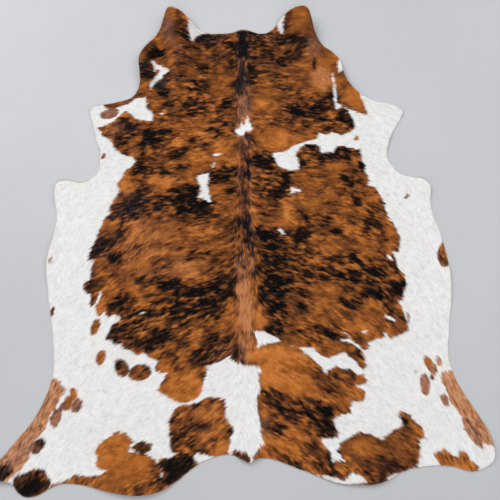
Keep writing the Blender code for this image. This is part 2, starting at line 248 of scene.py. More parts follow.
RIGHT_THIGH = (
    (41.5, -108), (37.5, -104.5), (40, -105), (38.5, -102.5), (36.5, -101),
    (38.5, -97), (40.5, -96), (43.5, -94), (47, -93), (51, -93.5), (53.5, -95),
    (56, -95.5), (59, -93.5), (61.5, -92), (64.5, -90.5), (65, -88.5), (63.5, -85.5),
    (64, -84.5), (69, -85.5), (69, -87.5), (72, -89.5), (73.5, -91), (74, -95.5),
    (71.5, -96), (71.5, -101.5), (70, -107), (69, -118), (40, -122),
)
LEFT_RUMP = (
    (-28.5, -81.5), (-22.5, -81), (-20, -79), (-14, -78.5), (-10.5, -79.5),
    (-10.5, -86.5), (-7, -91.5), (-9, -100), (-8, -106), (-14.5, -103), (-21, -102),
    (-21.5, -101), (-23.5, -102), (-23.5, -104), (-20.5, -106.5), (-24, -120),
    (-38, -120), (-36.5, -110.5), (-38.5, -104.5), (-37, -103), (-34, -103.5),
    (-31, -101.5), (-33.5, -100), (-34.5, -93.5), (-34, -91), (-35, -89),
    (-33, -84.5), (-31, -82.5),
)
LEFT_THIGH = (
    (-56, -93), (-52.5, -93.5), (-49.5, -96.5), (-51, -101), (-48.5, -101),
    (-43, -102), (-37.5, -106), (-36.5, -110.5), (-36, -122), (-84, -122),
    (-83, -114), (-77, -112.5), (-73, -110), (-66.5, -110.5), (-61, -109.5),
    (-60, -108), (-63, -107.5), (-64.5, -106), (-64, -104), (-65.5, -100.5),
    (-64, -98), (-60.5, -95.5),
)
THIGH_SPOT = (
    (-49.5, -99.5), (-48, -97.5), (-45.5, -96.5), (-41.5, -98), (-41.5, -100),
    (-44.5, -102.5), (-48, -101),
)
HOCK_PATCH = (
    (-98, -110.5), (-95, -110), (-89.5, -107.5), (-86, -108), (-82.5, -112),
    (-82.5, -115), (-87.5, -118.5), (-94, -121), (-98.5, -116),
)
TAIL_TUFT = (
    (-8, -101.5), (-6, -100), (-1.5, -101), (0, -103), (0.3, -108), (-8.5, -108),
)
LEFT_LEG_BAND = (
    (-82.5, -71.5), (-81.5, -74), (-79.5, -75), (-82.5, -79), (-83.5, -83),
    (-85.5, -85.5), (-87, -91), (-91.5, -98), (-92.5, -103.5), (-97.5, -110),
    (-101.5, -113), (-112, -114), (-112, -100), (-96, -82), (-88, -70),
)
RIGHT_LEG_BAND = (
    (83.5, -68), (92, -66), (102, -84), (108, -98), (101, -98.5), (96.5, -96),
    (94, -90.5), (91, -87), (88.5, -83.5), (86.5, -80.5), (85, -75), (83, -71),
)
RIGHT_HOCK = (
    (77, -102), (81.5, -99.5), (85.5, -102.5), (88, -102.5), (88, -99.5),
    (90, -100.5), (92.5, -104.5), (95.5, -106.5), (94, -112), (82, -112),
    (79, -105),
)
# Dark hair in the neck's folds.
LEFT_FOLD_DARK = (
    (-51.5, 93.5), (-48, 97), (-43.5, 95.5), (-42.5, 92), (-44.5, 91), (-48, 91),
    (-50.5, 89), (-54, 89),
)
BELOW_BLAZE = (
    (-44, 82), (-40.5, 82.5), (-39, 78.5), (-41, 77), (-43, 74.5), (-41, 68.5),
    (-44.5, 69), (-48, 71.5), (-49.5, 75), (-49, 78), (-46, 80),
)
# White within the coat.
SADDLE = (
    (10.5, 38.5), (12.5, 38), (17, 38.5), (21.5, 42), (27.5, 44), (33, 45.5),
    (34, 49), (38, 47), (40, 44), (38, 39.5), (34.5, 38), (34.5, 41.5), (32, 43),
    (27, 42.5), (24.5, 41), (22.5, 37.5), (22.5, 36.5), (23.5, 33.5), (24, 29.5),
    (20, 28.5), (14, 30.5), (11.5, 35.5),
)
NECK_BLAZE = (
    (-34, 118), (-32.5, 113), (-31.5, 110), (-32, 106.5), (-31, 104.5), (-30.5, 100.5),
    (-29, 101), (-28, 104), (-26, 106), (-23, 107), (-25.5, 109.5), (-27, 112),
    (-28, 118),
)
NECK_STRIPE = (
    (17.5, 122), (16, 115.5), (14.5, 112), (14.5, 109.5), (16, 106), (17.5, 105),
    (17, 109), (17.5, 113), (20, 122),
)
SHOULDER_BLAZE = (
    (-50.5, 89), (-49, 90), (-48, 88), (-46, 87.5), (-44, 86), (-40.5, 83),
    (-42, 82), (-44, 82), (-44.5, 80.5), (-46.5, 79), (-48, 77.5), (-49, 75),
    (-50, 73), (-50.5, 73), (-50.5, 76), (-49.5, 78), (-48.5, 79.5), (-47.5, 81),
    (-46.5, 83), (-46, 84.5), (-47.5, 85), (-48.5, 84), (-49, 83.5), (-49, 85.5),
    (-49.5, 87.5),
)
FOLD_SLIP = (
    (45, 89), (46, 90.5), (46.5, 90), (47.5, 85.5), (47, 83), (45.5, 81.5),
    (45, 83), (44.5, 86),
)
SHOULDER_WHORL = (
    (-7.5, 49.5), (-6, 51.5), (-5, 51), (-4.5, 54), (-3, 53), (-2, 57), (-1, 58.5),
    (-0.5, 55), (0.5, 54.5), (0.5, 52.5), (1.5, 51.5), (0.5, 49.5), (-2.5, 49.5),
    (-4, 47), (-5.5, 47.5),
)
RIB_FLASH = (
    (-25, 26), (-20, 27), (-19.5, 24), (-20.5, 21), (-18.5, 14), (-19, 11.5),
    (-22.5, 14), (-25, 14.5), (-23.5, 17.5), (-24, 20.5), (-25.5, 24),
)
RIB_FLECK = (
    (18.5, 16), (19.5, 17.5), (19, 19.5), (20.5, 20), (22, 18.8), (25, 18.7), (24, 17.5),
    (21, 17), (19.5, 16),
)
LOW_FLECK = ((13, -2), (14.5, -0.8), (15.5, -2.3), (16.3, -3.8), (15, -3.6))
LOIN_WEDGE = (
    (2, -50), (6, -50), (10, -52), (13.5, -54), (9.5, -55), (5.5, -55.5), (4, -57),
    (3, -57), (3.5, -54),
)
RUMP_FLASH = (
    (28, -110), (33, -110.5), (39, -112.5), (41, -110.5), (43, -109), (47, -111),
    (48, -113), (39, -114), (33, -112.5),
)
THIGH_FLASH = ((57, -111), (63, -109), (69, -107), (71, -112), (58, -116))

# A patch of the coat: its line, its kind of hair, and by how much that is lighter than
# the rest of the brindle (darker below 0), in spreads of its tone. A later patch covers
# the earlier ones, and the spots cover all patches.
Patch = namedtuple("Patch", "line kind light")
COAT_PATCHES = (
    Patch(BODY, "brindle", 0.0),
    Patch(RIGHT_RUMP, "brindle", 0.2),
    Patch(RIGHT_THIGH, "brindle", -0.2),
    Patch(LEFT_RUMP, "brindle", 0.3),
    Patch(LEFT_THIGH, "brindle", 0.3),
    Patch(THIGH_SPOT, "brindle", -1.3),
    Patch(HOCK_PATCH, "brindle", -0.9),
    Patch(TAIL_TUFT, "brindle", 0.2),
    Patch(RIGHT_HOCK, "brindle", 0.9),
    Patch(LEFT_LEG_BAND, "dun", -0.2),
    Patch(RIGHT_LEG_BAND, "dun", 0.2),
    Patch(LEFT_FOLD_DARK, "brindle", -1.2),
    Patch(BELOW_BLAZE, "brindle", -1.2),
)
WHITE_LINES = (
    SADDLE, NECK_BLAZE, NECK_STRIPE, SHOULDER_BLAZE, FOLD_SLIP, SHOULDER_WHORL,
    RIB_FLASH, RIB_FLECK, LOW_FLECK, LOIN_WEDGE, RUMP_FLASH, THIGH_FLASH,
)
PATCHES = COAT_PATCHES + tuple(Patch(line, "white", 0.0) for line in WHITE_LINES)

# A small spot: centre, half its length and width, turn in degrees, kind and lightness.
Spot = namedtuple("Spot", "x y long wide turn kind light")
SPOTS = (
    Spot(76, -73, 4.6, 2.2, 88, "mauve", 1.1),  # beside the right hind leg
    Spot(78.5, -64, 3.4, 1.9, -60, "tawny", 0.4),
    Spot(80, -66.5, 2.6, 1.8, 90, "mauve", 0.8),
    Spot(79.5, -70, 1.3, 0.9, 90, "mauve", -0.8),
    Spot(83, -63, 2.2, 1.2, -70, "roan", 0.6),
    Spot(84, -79.5, 2.8, 1.6, -70, "mauve", 1.2),
    Spot(92.5, -91.5, 2.8, 1.3, -60, "mauve", 1.2),
    Spot(90.5, -14, 6.0, 3.6, 80, "brindle", 0.0),  # cut by the right edge
    Spot(75, 15, 1.6, 0.7, 50, "brindle", 0.2),
    Spot(52.5, 46, 1.6, 0.9, 50, "brindle", 1.0),
    Spot(66, 15.5, 1.2, 0.7, 70, "faint", 1.0),
    Spot(71, -43.5, 2.2, 0.5, 88, "brindle", -0.2),
    Spot(72.5, -67.5, 0.6, 0.6, 0, "faint", 0.0),
    Spot(-69, -48, 4.0, 1.8, 72, "tawny", 0.0),  # left side
    Spot(-65.5, -61.5, 3.2, 2.1, 80, "tawny", -0.2),
    Spot(-56, -66, 4.0, 3.0, -60, "brindle", -0.7),
    Spot(-48, -68, 5.0, 3.6, 12, "brindle", -0.7),
    Spot(-92, -17, 1.6, 0.9, 80, "faint", -0.5),
    Spot(-89, -41, 2.4, 1.1, 75, "brindle", 0.6),
    Spot(-71.5, 36, 1.6, 0.8, 70, "brindle", 0.2),
    Spot(-76, -77.5, 3.2, 1.5, -72, "tawny", 0.6),
    Spot(-74.5, -82, 3.1, 2.3, 70, "mauve", 0.2),
    Spot(-78.5, -81, 3.2, 2.0, 78, "tawny", 0.2),
    Spot(-80.5, -82.5, 2.2, 1.4, 60, "mauve", 0.6),
    Spot(-83, -87, 3.8, 2.2, 80, "mauve", 0.6),
    Spot(-89.5, -98.5, 3.6, 2.4, 55, "mauve", -1.6),
    Spot(-70, 59.5, 4.8, 2.8, 20, "mauve", 0.6),
    Spot(-96, -101, 7, 3.2, 50, "roan", 0.6),  # darker hair in the hind legs' bands
    Spot(-103.5, -109.5, 5.5, 3, 25, "mauve", -2.2),
    Spot(94.5, -93, 7, 2.2, -62, "roan", 0.2),
    Spot(-16, 37, 2.2, 0.7, 8, "white", 0.0),  # white flecks in the brown
    Spot(-17.5, 31.5, 1.4, 0.5, 80, "white", 0.0),
    Spot(64.5, -15.5, 2.0, 0.7, -42, "white", 0.0),
    Spot(63, -44, 2.6, 0.7, -25, "white", 0.0),
    Spot(51, -50, 1.3, 0.6, 20, "white", 0.0),
    Spot(-48, -41.5, 1.3, 0.3, 15, "white", 0.0),
    Spot(-44, 59.5, 0.8, 0.5, 0, "white", 0.0),
    Spot(-47, 83.5, 0.7, 0.6, 0, "brindle", 1.0),  # a brown one in the white
    Spot(32.5, 85.5, 3.4, 0.9, 86, "black", 0.0),  # painted shade in the slits of the neck's folds
    Spot(-36.5, 93, 4.8, 1.1, 86, "mauve", -1.4),
)

# Marks in the brindle. Each row is an oval that lies along the hair: the x and y of its
# centre, half its length along the hair, half its width across it, in centimetres, and
# its depth, up to 1. Here the brown is darker than the rest:
DARK_MARKS = (
    # neck, left
    (-47, 94, 4.5, 2.5, 0.6), (-53, 87, 3.5, 2.5, 0.6), (-52, 80, 3, 3, 0.2), (-26, 62, 4, 2, 0.5),
    (-44, 71, 3, 2.5, 0.5), (-33, 101, 3, 3, 0.4), (-21, 103, 8.5, 3.5, 0.7),
    (-20, 99.5, 7, 2.5, 0.5), (-10, 93, 3, 3.5, 0.6), (-29, 65, 3, 3.5, 0.7),
    (-12, 66, 2.5, 2.5, 0.7), (-40, 59, 2.5, 1.2, 0.7), (-28, 59, 3, 1.5, 0.7),
    (-17.5, 91, 2.5, 4, 0.5), (-25, 85, 3.5, 3, 0.7), (-25, 74, 5, 4, 0.8), (-23, 67, 3, 2, 0.5),
    (-9.5, 90, 1.5, 4, 0.4), (-47, 63, 6, 3, 0.3), (-47, 56, 3, 2.5, 0.5),
    (-59.5, 51.5, 3, 3, 0.8), (-38, 63, 5, 5, 0.3), (-9, 57, 6, 3, 0.4), (-17, 56, 4, 2, 0.5),
    (-14.5, 48.5, 3, 2.5, 0.6), (-20, 85, 20, 20, 0.2), (-52.5, 82, 3.5, 4, 0.6),
    (-36, 105, 3, 4, 0.25),
    # along the backbone, then neck, right
    (-3, 100, 9, 3.5, 0.7), (-7, 76, 4.5, 2.5, 0.6), (2, 84, 5.5, 3, 0.6), (0.5, 84, 2, 7, 0.4),
    (0.5, 79, 2.5, 2.5, 0.5), (5, 107, 9, 2, 0.8), (-15, 52, 4.5, 3.5, 0.6),
    (18, 102, 7.5, 2.5, 0.8), (26, 95, 3.5, 1.5, 0.8), (19, 94, 2, 1.5, 0.6), (9, 96, 4, 4, 0.4),
    (15, 89, 3.5, 2, 0.6), (14, 77, 3, 3, 0.6), (14, 81, 7, 2, 0.4), (22, 92, 5, 2.5, 0.4),
    (19, 112, 3, 6, 0.5), (27, 66, 4, 2.5, 0.4), (37, 64, 5.5, 2.5, 0.7), (25, 62, 7, 3, 0.8),
    (41.5, 66.5, 3, 4.5, 0.95), (37.5, 62.5, 3, 2, 0.5), (47, 59, 4.5, 5.5, 0.8),
    (44, 52, 7, 4, 0.5), (42, 70, 2, 1.5, 0.4), (35, 57, 10, 2, 0.5), (15, 88, 18, 18, 0.1),
    (34, 108, 2, 4, 0.3), (25, 99, 4, 2.5, 0.6),
    # ribs, right
    (6, 32, 6, 5.5, 0.85), (17, 26, 3.5, 2.5, 0.7), (12.5, 23.5, 5, 2.5, 0.6),
    (13, 19, 6.5, 5, 0.7), (24.5, 32, 2.5, 2.5, 0.7), (41, 37.5, 8, 3.5, 0.95),
    (45, 39.5, 7, 2, 0.5), (52, 38.5, 3, 2, 0.7), (35, 36, 7, 3, 0.55), (55, 31, 3, 2, 0.8),
    (68, 4.5, 1.5, 4, 0.7), (49, 22.5, 5, 3, 0.5), (29, 42, 5, 1.5, 0.8), (39, 20, 2.5, 2, 0.3),
    (31, 26, 3.5, 1.5, 0.3), (0.5, 41, 1.5, 3, 0.6), (50.5, 12.5, 3, 3, 0.6),
    (58.5, 7.5, 3, 3, 0.6), (65, 6, 2, 3, 0.5), (9, 14, 4, 2, 0.3), (13, 7, 4, 2, 0.4),
    (21, 7, 3, 2, 0.4), (34, 4, 4, 3, 0.5), (48, 3, 4, 4, 0.35),
    # middle, right
    (8, -5, 5.5, 3, 0.95), (16, -4, 2.5, 1.2, 0.8), (23, -5, 4.5, 4.5, 0.9), (26, -1, 3, 4, 0.5),
    (10, -12, 4.5, 3.5, 0.75), (13, -18, 5, 3, 0.75), (25, 4, 3, 2.5, 0.6), (58, 2, 4, 3.5, 0.85),
    (47, -16, 3, 3, 0.9), (51, -18, 3, 1.5, 0.7), (34, -3, 2, 1.5, 0.4), (41, -3, 3, 1.5, 0.8),
    (26, -13, 3, 2.5, 0.7), (11, -13, 14, 14, 0.35), (4, -8, 3, 2.5, 0.4), (21, -14, 4, 3, 0.6),
    (24, -24, 4, 3, 0.8), (12, -23, 8, 4, 0.3), (28, -9, 4, 2, 0.4), (36, -15.5, 7, 1.5, 0.5),
    (55, -2, 3, 4, 0.6), (61, -6, 3, 2.5, 0.6), (67.5, -13, 2.5, 3, 0.7), (14, -3, 4, 2, 0.4),
    # loin, right
    (9, -23, 4, 3, 0.8), (10, -28, 5, 4, 0.9), (6, -33, 4, 2.5, 0.5), (12, -38, 5, 3, 0.9),
    (8, -41, 3, 2.5, 0.7), (13, -33, 3, 3, 0.5), (22, -32, 4, 2, 0.5), (12, -47, 4, 4, 0.8),
    (10, -51, 4, 1.5, 0.8), (30, -24, 7, 2.5, 0.6), (36, -22, 8, 2, 0.8),
    (47, -24, 3.5, 2.5, 0.95), (54, -24, 4, 3, 0.9), (62, -26, 4, 2, 0.5), (51, -29, 4, 3, 0.4),
    (66, -30, 5, 4.5, 0.8), (55, -33, 5, 2, 0.85), (59, -34, 2.5, 3, 0.6), (44, -37, 3.5, 2, 0.9),
    (48, -36.5, 3, 2.5, 0.6), (63, -38, 3.5, 3, 0.4), (59, -22, 3.5, 2.5, 0.8),
    (66, -20, 3.5, 2, 0.6), (34, -50, 7, 2, 0.85), (37, -48, 3, 1.5, 0.4), (44, -43, 5, 2, 0.4),
    (22, -50, 1.5, 1, 0.6), (25, -51, 4, 1.5, 0.3), (24, -38, 2.5, 2, 0.6), (27, -39, 3, 2.5, 0.5),
    (48, -62, 4.5, 3, 0.5), (42, -53, 3, 1.5, 0.4), (48, -57, 4, 2, 0.4), (66, -44, 4, 5, 0.5),
    (70, -28, 2, 4, 0.5),
    # shoulder and ribs, left
    (-63, 53, 6.5, 3.5, 0.5), (-64, 44, 4, 4.5, 0.6), (-51, 49, 7, 2, 0.7), (-47, 45, 6, 4, 0.7),
    (-41.5, 45, 4, 5, 0.5), (-40, 50, 2, 1.2, 0.7), (-37, 37, 6, 2, 0.7), (-36, 36, 2, 2.5, 0.3),
    (-26.5, 44, 3.5, 2.5, 0.75), (-21.5, 42, 3, 2.5, 0.7), (-30, 41, 5.5, 1, 0.6),
    (-52, 40.5, 2, 3, 0.4), (-49, 32, 8, 3.5, 0.5), (-54, 29, 3.5, 3.5, 0.5),
    (-50, 28, 6, 2.5, 0.3), (-40, 27, 3.5, 2.5, 0.7), (-32, 30, 3.5, 1.5, 0.7),
    (-34, 28, 5, 3, 0.3), (-55, 10.5, 10, 6.5, 0.75), (-49.5, 18.5, 4, 3, 0.85),
    (-31, 15, 7.5, 7, 0.85), (-26.5, 15, 2.5, 5, 0.8), (-21, 11, 5, 3.5, 1),
    (-43, 12, 5, 2.5, 0.6), (-13, 26, 6.5, 4, 0.8), (-17, 25, 2.5, 2.5, 1), (-9, 18, 3, 2, 0.6),
    (-26, 6, 8, 4.5, 0.65), (-21, 5, 6, 2, 0.6), (-31, 25, 6, 1.5, 0.3),
    # middle, left
    (-59, -3, 4, 2.5, 0.7), (-65, -6, 4, 3.5, 0.4), (-69, -10, 5, 4, 0.75),
    (-73, -15, 2.5, 3, 0.7), (-63, -15, 3, 2.5, 0.85), (-73, -35, 3, 3, 0.7),
    (-70, -28, 7.5, 2.5, 0.6), (-25, -15, 4.5, 2.5, 0.95), (-56, -14.5, 7, 3, 0.4),
    (-60, -25, 4, 4, 0.4), (-73, -24, 2, 2, 0.4), (-50, -26, 2.5, 1.5, 0.9), (-44, -26, 2, 1, 0.8),
    (-35, -28, 5.5, 2.5, 0.8), (-33, -31, 3, 3.5, 0.9), (-26, -32, 6, 3.5, 0.85),
    (-13, -28, 8, 3, 0.6), (-9, -31, 5, 2.5, 0.9), (-13, -34, 3, 3, 0.7),
    (-5.5, -2.5, 2, 2.5, 0.3), (-7, -14, 1.5, 3, 0.4),
    # loin, left
    (-56, -37, 4.5, 4.5, 0.7), (-62, -40, 3, 3, 0.6), (-55, -42, 5, 3, 0.8),
    (-58, -43.5, 5, 2.5, 0.6), (-42, -42, 8, 1.5, 0.8), (-42, -37, 2.5, 1.5, 0.8),
    (-48, -44, 5, 4, 0.6), (-36, -35, 3, 2, 0.5), (-32, -39, 4, 2.5, 0.9), (-31, -41, 4, 2.5, 0.6),
    (-27, -37, 3.5, 2.5, 0.85), (-20, -37, 4.5, 3.5, 0.9), (-16, -40.5, 5, 3, 0.75),
    (-26, -40, 5, 2.5, 0.65), (-23, -45, 6, 4, 0.5), (-33, -45, 4, 4, 0.6),
    (-59, -49, 5, 3.5, 0.75), (-61.5, -52, 2, 3, 0.5), (-55, -50, 6, 3.5, 0.7),
    (-50, -53, 3, 2, 0.5), (-42, -52, 5, 3.5, 0.8), (-47, -56, 6, 2.5, 0.7), (-44, -57, 3, 2, 0.5),
    (-36, -52, 4, 3, 0.4), (-30, -54, 3, 3, 0.5), (-36, -61, 4.5, 2.5, 0.5),
    (-20, -61, 6, 4.5, 0.55), (-26, -65, 6, 2.5, 0.3), (-27, -50, 1.5, 1.5, 0.6),
    (-18, -54, 4.5, 3, 0.5), (-6, -60, 4, 3.5, 0.3), (-19.5, -71, 1.5, 4, 0.5),
    # right rump and thigh
    (6, -76, 2, 1.5, 0.8), (13, -78, 4.5, 2, 0.8), (28, -86, 7, 6, 0.7), (33, -85, 4.5, 2, 0.9),
    (34, -92, 3.5, 3.5, 0.8), (12, -91, 3, 2.5, 0.95), (7, -90, 5, 3, 0.4), (19, -87, 4, 3, 0.6),
    (15, -82, 7, 4, 0.55), (28, -98, 2.5, 1.5, 0.5), (32, -103, 3, 2.5, 0.4),
    (24, -100, 3, 3, 0.5), (31, -70, 4, 3.5, 0.65), (47, -95, 3.5, 1.5, 0.2),
    (66, -95, 6, 2.5, 0.2), (58, -107, 9, 4, 0.3), (27, -67, 4, 3, 0.6), (19, -66, 5, 4, 0.4),
    (40, -66, 4, 2, 0.5), (43, -71, 3, 3, 0.5), (33, -74.5, 4, 2, 0.4), (7, -79, 2.5, 2, 0.5),
    # The rows here at y -106 to -113 darken the tail edge: darker hair, and partly painted shade
    # where the edge curls down.
    (20, -80, 3, 1.5, 0.4), (16, -106, 12, 2.5, 0.6), (38, -112, 9, 2, 0.5), (22, -108, 8, 2, 0.6),
    (52, -107, 6, 5, 0.25), (50, -113, 8, 3, 0.5), (66, -87, 3, 2.5, 0.3),
    # left rump and the hind leg's end
    (-50, -118, 12, 2.5, 0.6), (-21, -93, 4.5, 5, 0.3), (-30, -96, 5, 4.5, 0.55),
    (-29, -87, 4.5, 2.5, 0.3), (-23, -82, 2, 1.5, 0.6), (-30, -108, 9, 6.5, 0.97),
    # (-38, -108) darkens the tail edge: darker hair, and partly painted shade where the edge curls
    # down.
    (-38, -108, 3, 6, 0.5), (-104, -110, 6, 4.5, 0.97), (-92, -117, 8, 3, 0.6),
)
# Here it is clearer and lighter:
CLEAR_MARKS = (
    # neck
    (-14, 76, 7.5, 6.5, 0.6), (-14, 92, 4.5, 2.5, 0.4), (-47, 67, 4, 3, 0.5),
    # (36.5, 79) lightens the right neck fold's lit face: clearer hair, and partly painted light.
    (8, 64, 6.5, 4.5, 0.6), (8, 72, 6, 3, 0.4), (40, 59, 2.5, 2.5, 0.6), (36.5, 79, 6, 6, 0.9),
    (43, 91, 4, 4, 0.7), (38, 87, 4, 3, 0.6), (53, 67, 6, 7, 0.9), (-41, 87, 3, 3, 0.4),
    (-38, 98, 3, 3, 0.5), (-55, 76, 3, 3, 0.4), (25, 111, 5, 7, 0.5), (-35, 83, 7, 2, 0.5),
    # ribs and middle, left
    (-37, 23, 13.5, 4, 0.8), (-66.5, 50, 3, 3, 0.7), (-55, 46, 3, 2.5, 0.7),
    (-34, 43, 3, 2.5, 0.6), (-42.5, 33, 4, 3, 0.5), (-24, 32, 4, 3.5, 0.5), (-59.5, 21, 4, 6, 0.8),
    (-65, 14, 2.5, 3, 0.6), (-16, 16, 4.5, 5.5, 0.6), (-13, 38, 7, 6, 0.5),
    (-32, -3, 22.5, 8, 0.3), (-52, -3, 7, 4, 0.5), (-42, -3, 6, 3.5, 0.5),
    (-66.5, -4, 3.5, 5, 0.6), (-33, -15, 4, 3, 0.8), (-20, -10.5, 4, 2, 0.6),
    (-68, -18, 2.5, 3, 0.5), (-48, -21.5, 3, 4, 0.5), (-34, -25.5, 4, 2, 0.5),
    (-9, -24.5, 3, 3, 0.4), (-53.5, -30, 3, 3.5, 0.8), (-52, -36, 4, 3, 0.5),
    (-28, -29.5, 4, 2, 0.5), (-17.5, -33.5, 3, 2.5, 0.5), (-64, -26, 7, 4.5, 0.6),
    (-30, -20, 7.5, 4, 0.5), (-67, -38, 3.5, 4, 0.6),
    # ribs and middle, right
    (14, 47, 9, 4, 0.7), (12, 43, 9, 3.5, 0.8), (22, 45, 8, 3, 0.8), (65, -7, 6, 4.5, 0.3),
    (56, 22, 4, 4, 0.5), (50, -2, 9, 7, 0.4), (32, 18, 10, 7, 0.5), (28, 10, 4, 3, 0.5),
    (32, 28, 3, 2, 0.5), (43, 31, 5, 2.5, 0.7), (8, 2, 8, 2, 0.6), (18, 3, 6, 4, 0.7),
    (63, 1.5, 3, 3, 0.5), (38, -10, 5, 2.5, 0.6), (55, -11, 4, 2, 0.4), (3, -27, 2, 5, 0.7),
    (36, -30, 5, 3, 0.5), (50, -30.5, 3, 2, 0.4),
    # loin, rumps and thighs
    (37, -37, 8, 7, 0.4), (57, -48, 14.5, 6, 0.5), (5, -44.5, 4, 3.5, 0.9), (17, -38, 4, 2.5, 0.4),
    (30, -44.5, 5, 2.5, 0.6), (48, -45, 4, 2.5, 0.4), (66, -37, 3.5, 2.5, 0.6),
    (38, -57, 4, 3.5, 0.4), (51, -55, 2, 2.5, 0.6), (-5, -39, 10, 6, 0.4), (-27, -52, 8, 6, 0.4),
    (-22, -54.5, 3, 3, 0.5), (-16, -50.5, 3, 2, 0.4), (-50, -58.5, 4, 2, 0.5),
    (-37, -65.5, 3, 3.5, 0.9), (-26, -67, 4, 2.5, 0.7), (-29, -74, 10, 7, 0.9),
    (-26, -88, 4, 3, 0.4), (-27, -78, 7, 4, 0.5), (17, -66, 13, 10, 0.9), (5, -70, 3, 7, 0.7),
    (3.5, -61, 2, 4.5, 1), (44, -75, 6.5, 6, 0.5), (23, -92, 8, 4, 0.5), (13, -103, 9, 6, 0.5),
    (-12, -100, 5, 3, 0.9), (5, -87, 2.5, 4, 0.5), (31, -99, 3, 3, 0.7), (47, -99, 4, 4, 0.8),
    (-20, -86, 4, 3, 0.6), (-20, -95, 3, 3, 0.5), (-57, -101, 9, 8, 0.6), (-49, -109, 12, 6, 0.4),
    (-45, -104, 4, 3, 0.4),
    # one more on the right ribs
    (19, 7, 3.5, 3, 1),
)
# Here it is calmer, with fewer ticks:
CALM_MARKS = (
    (-43, 108, 6, 12, 0.8), (-51, 88, 8, 12, 0.7), (26, 108, 13, 14, 0.9), (38, 88, 10, 14, 0.85),
    (52, 68, 9, 9, 0.8), (17, -66, 14, 12, 0.4), (-52, -105, 16, 12, 0.7), (-20, 85, 22, 22, 0.35),
    (15, 88, 20, 20, 0.35), (57, -101, 16, 13, 0.6), (-92, -114, 9, 8, 0.8),
    (-30, -108, 9, 7, 0.5),
)

# Painted sheen: here some hairs get grey-mauve shades for the grey sheen that the coat catches:
PAINTED_SHEENS = (
    (-42, 106, 3.5, 9, 0.6), (32, 96, 4, 6.5, 0.55), (36.5, 78.5, 5, 6, 0.5),
    (-65, 50, 6, 5, 0.35), (-56, 12, 9, 6, 0.25), (-69, -12, 4, 6, 0.25), (5, -92, 3.5, 6, 0.5),
    (-30, -20, 10, 5, 0.2), (-20, -90, 7, 8, 0.1), (-12, -60, 6, 4, 0.2), (-78, -114, 5, 3, 0.5),
    (-50, -5, 14, 18, 0.15), (-45.5, 77, 3, 4.5, 0.6), (-54, 86, 3, 4, 0.35),
    (-20, 103, 6, 2.5, 0.35), (10, 104, 3, 3, 0.3),
)
# Here the two shades from dark brown to brown are redder:
RUSSETS = (
    (25, 109, 8, 10, 0.8), (-40, 91, 4, 7, 0.6), (-36, 108, 6, 10, 0.6), (-66, -113, 16, 4, 0.6),
    (52, 68, 7, 7, 0.4),
)

MARK_FADE = (0.55, 1.45)  # a mark fades out between these radii,
MARK_REACH = 1.9  # and is worked out up to this one, as the fade's line is rough
DARKEN = 2.6  # what a dark mark takes from the tone at full depth,
LIGHTEN = 1.8  # what a clear mark adds to it,
CLEAR_CALM = 0.5  # by what share a clear mark evens out the ticks,
MARKED_CALM = 0.7  # and by what share a calm mark does

# The backbone's strip, tail to neck, in centimetres: y, the x of its left and right side,
# the share of mauve hairs in its two edge lines and between them, and how much lighter
# the hair between them is (darker below 0).
BACKBONE = (
    (-66, -6, 0, 0.3, 0.4, 0.4),
    (-62.5, -6, 0, 0.3, 0.4, 0.8),
    (-56, -5.5, 1, 0.3, 0.4, 1.2),
    (-50.5, -4.5, 2, 0.3, 0.4, 0.9),
    (-45, -5, 1, 0.3, 0.5, 1.2),
    (-35.5, -5, 1, 0.3, 0.5, 1.4),
    (-26.5, -6, 0, 0.3, 0.5, 1.2),
    (-19, -6, 2, 0.5, 0.35, 0.2),
    (-14.5, -5.5, 2, 0.5, 0.3, -0.4),
    (-7, -4, 1, 0.5, 0.15, -1.2),
    (0.5, -3.5, 0.5, 0.4, 0.15, -1.5),
    (5.5, -4, 0.5, 0.6, 0.1, -1.0),
    (13, -4.5, 0, 0.7, 0.1, -1.0),
    (26, -5, 0, 0.7, 0.1, -1.2),
    (39.5, -5, 0, 0.6, 0.1, -1.0),
    (45, -5, -1, 0.5, 0.4, -0.6),
    (57, -6.5, 0, 0.6, 0.6, 0.0),
    (67.5, -7, 0, 0.6, 0.6, 0.0),
    (73, -7, -0.5, 0.5, 0.5, -0.4),
    (79, -6.5, -1, 0.3, 0.4, -1.3),
    (82, -4.5, -2, 0.6, 0.5, -0.9),
    (89.5, -5.5, -3, 0.6, 0.5, -0.8),
    (92.5, -7, 0, 0.4, 0.1, -1.3),
    (108, -7.5, 1, 0.4, 0.1, -1.5),
)

BACK_LEFT = 0.024  # the backbone passes this far left of x = 0 at y = 0,
BACK_SLANT = 0.021  # and this much further left for each metre towards the neck
BACK_LINE = 0.7  # half the width of the strip's edge lines, in centimetres
BACK_SOFT = 0.5  # how softly the strip ends across, in centimetres
BACK_END = (-67, -64)  # the strip fades out between these y, in centimetres

# Growth of the hair: degrees below straight outwards at stations along the back, and
# what is added to that away from the backbone, with its share along the back.
BACK_Y = (-1.15, -0.90, -0.60, -0.30, 0.10, 0.50, 0.80, 1.10)
BACK_ANGLE = (42, 38, 30, 18, 8, 8, 6, 10)
BELLY_U = (0.40, 0.55, 0.70, 0.85, 0.95)
BELLY_ANGLE = (0, 8, 24, 48, 62)
BELLY_Y = (-1.10, -0.85, -0.55, -0.10, 0.30, 0.60, 0.90)
BELLY_SHARE = (0.30, 0.42, 0.75, 1.00, 0.90, 0.35, 0.10)
GROWTH_WAVES = ((9.0, 0.13, 5), (7.0, 0.05, 6))  # degrees, size and noise seed
WHORLS = ((-0.030, 0.475, 0.13, 1.8), (0.185, 0.05, 0.05, 0.6))  # x, y, reach, strength
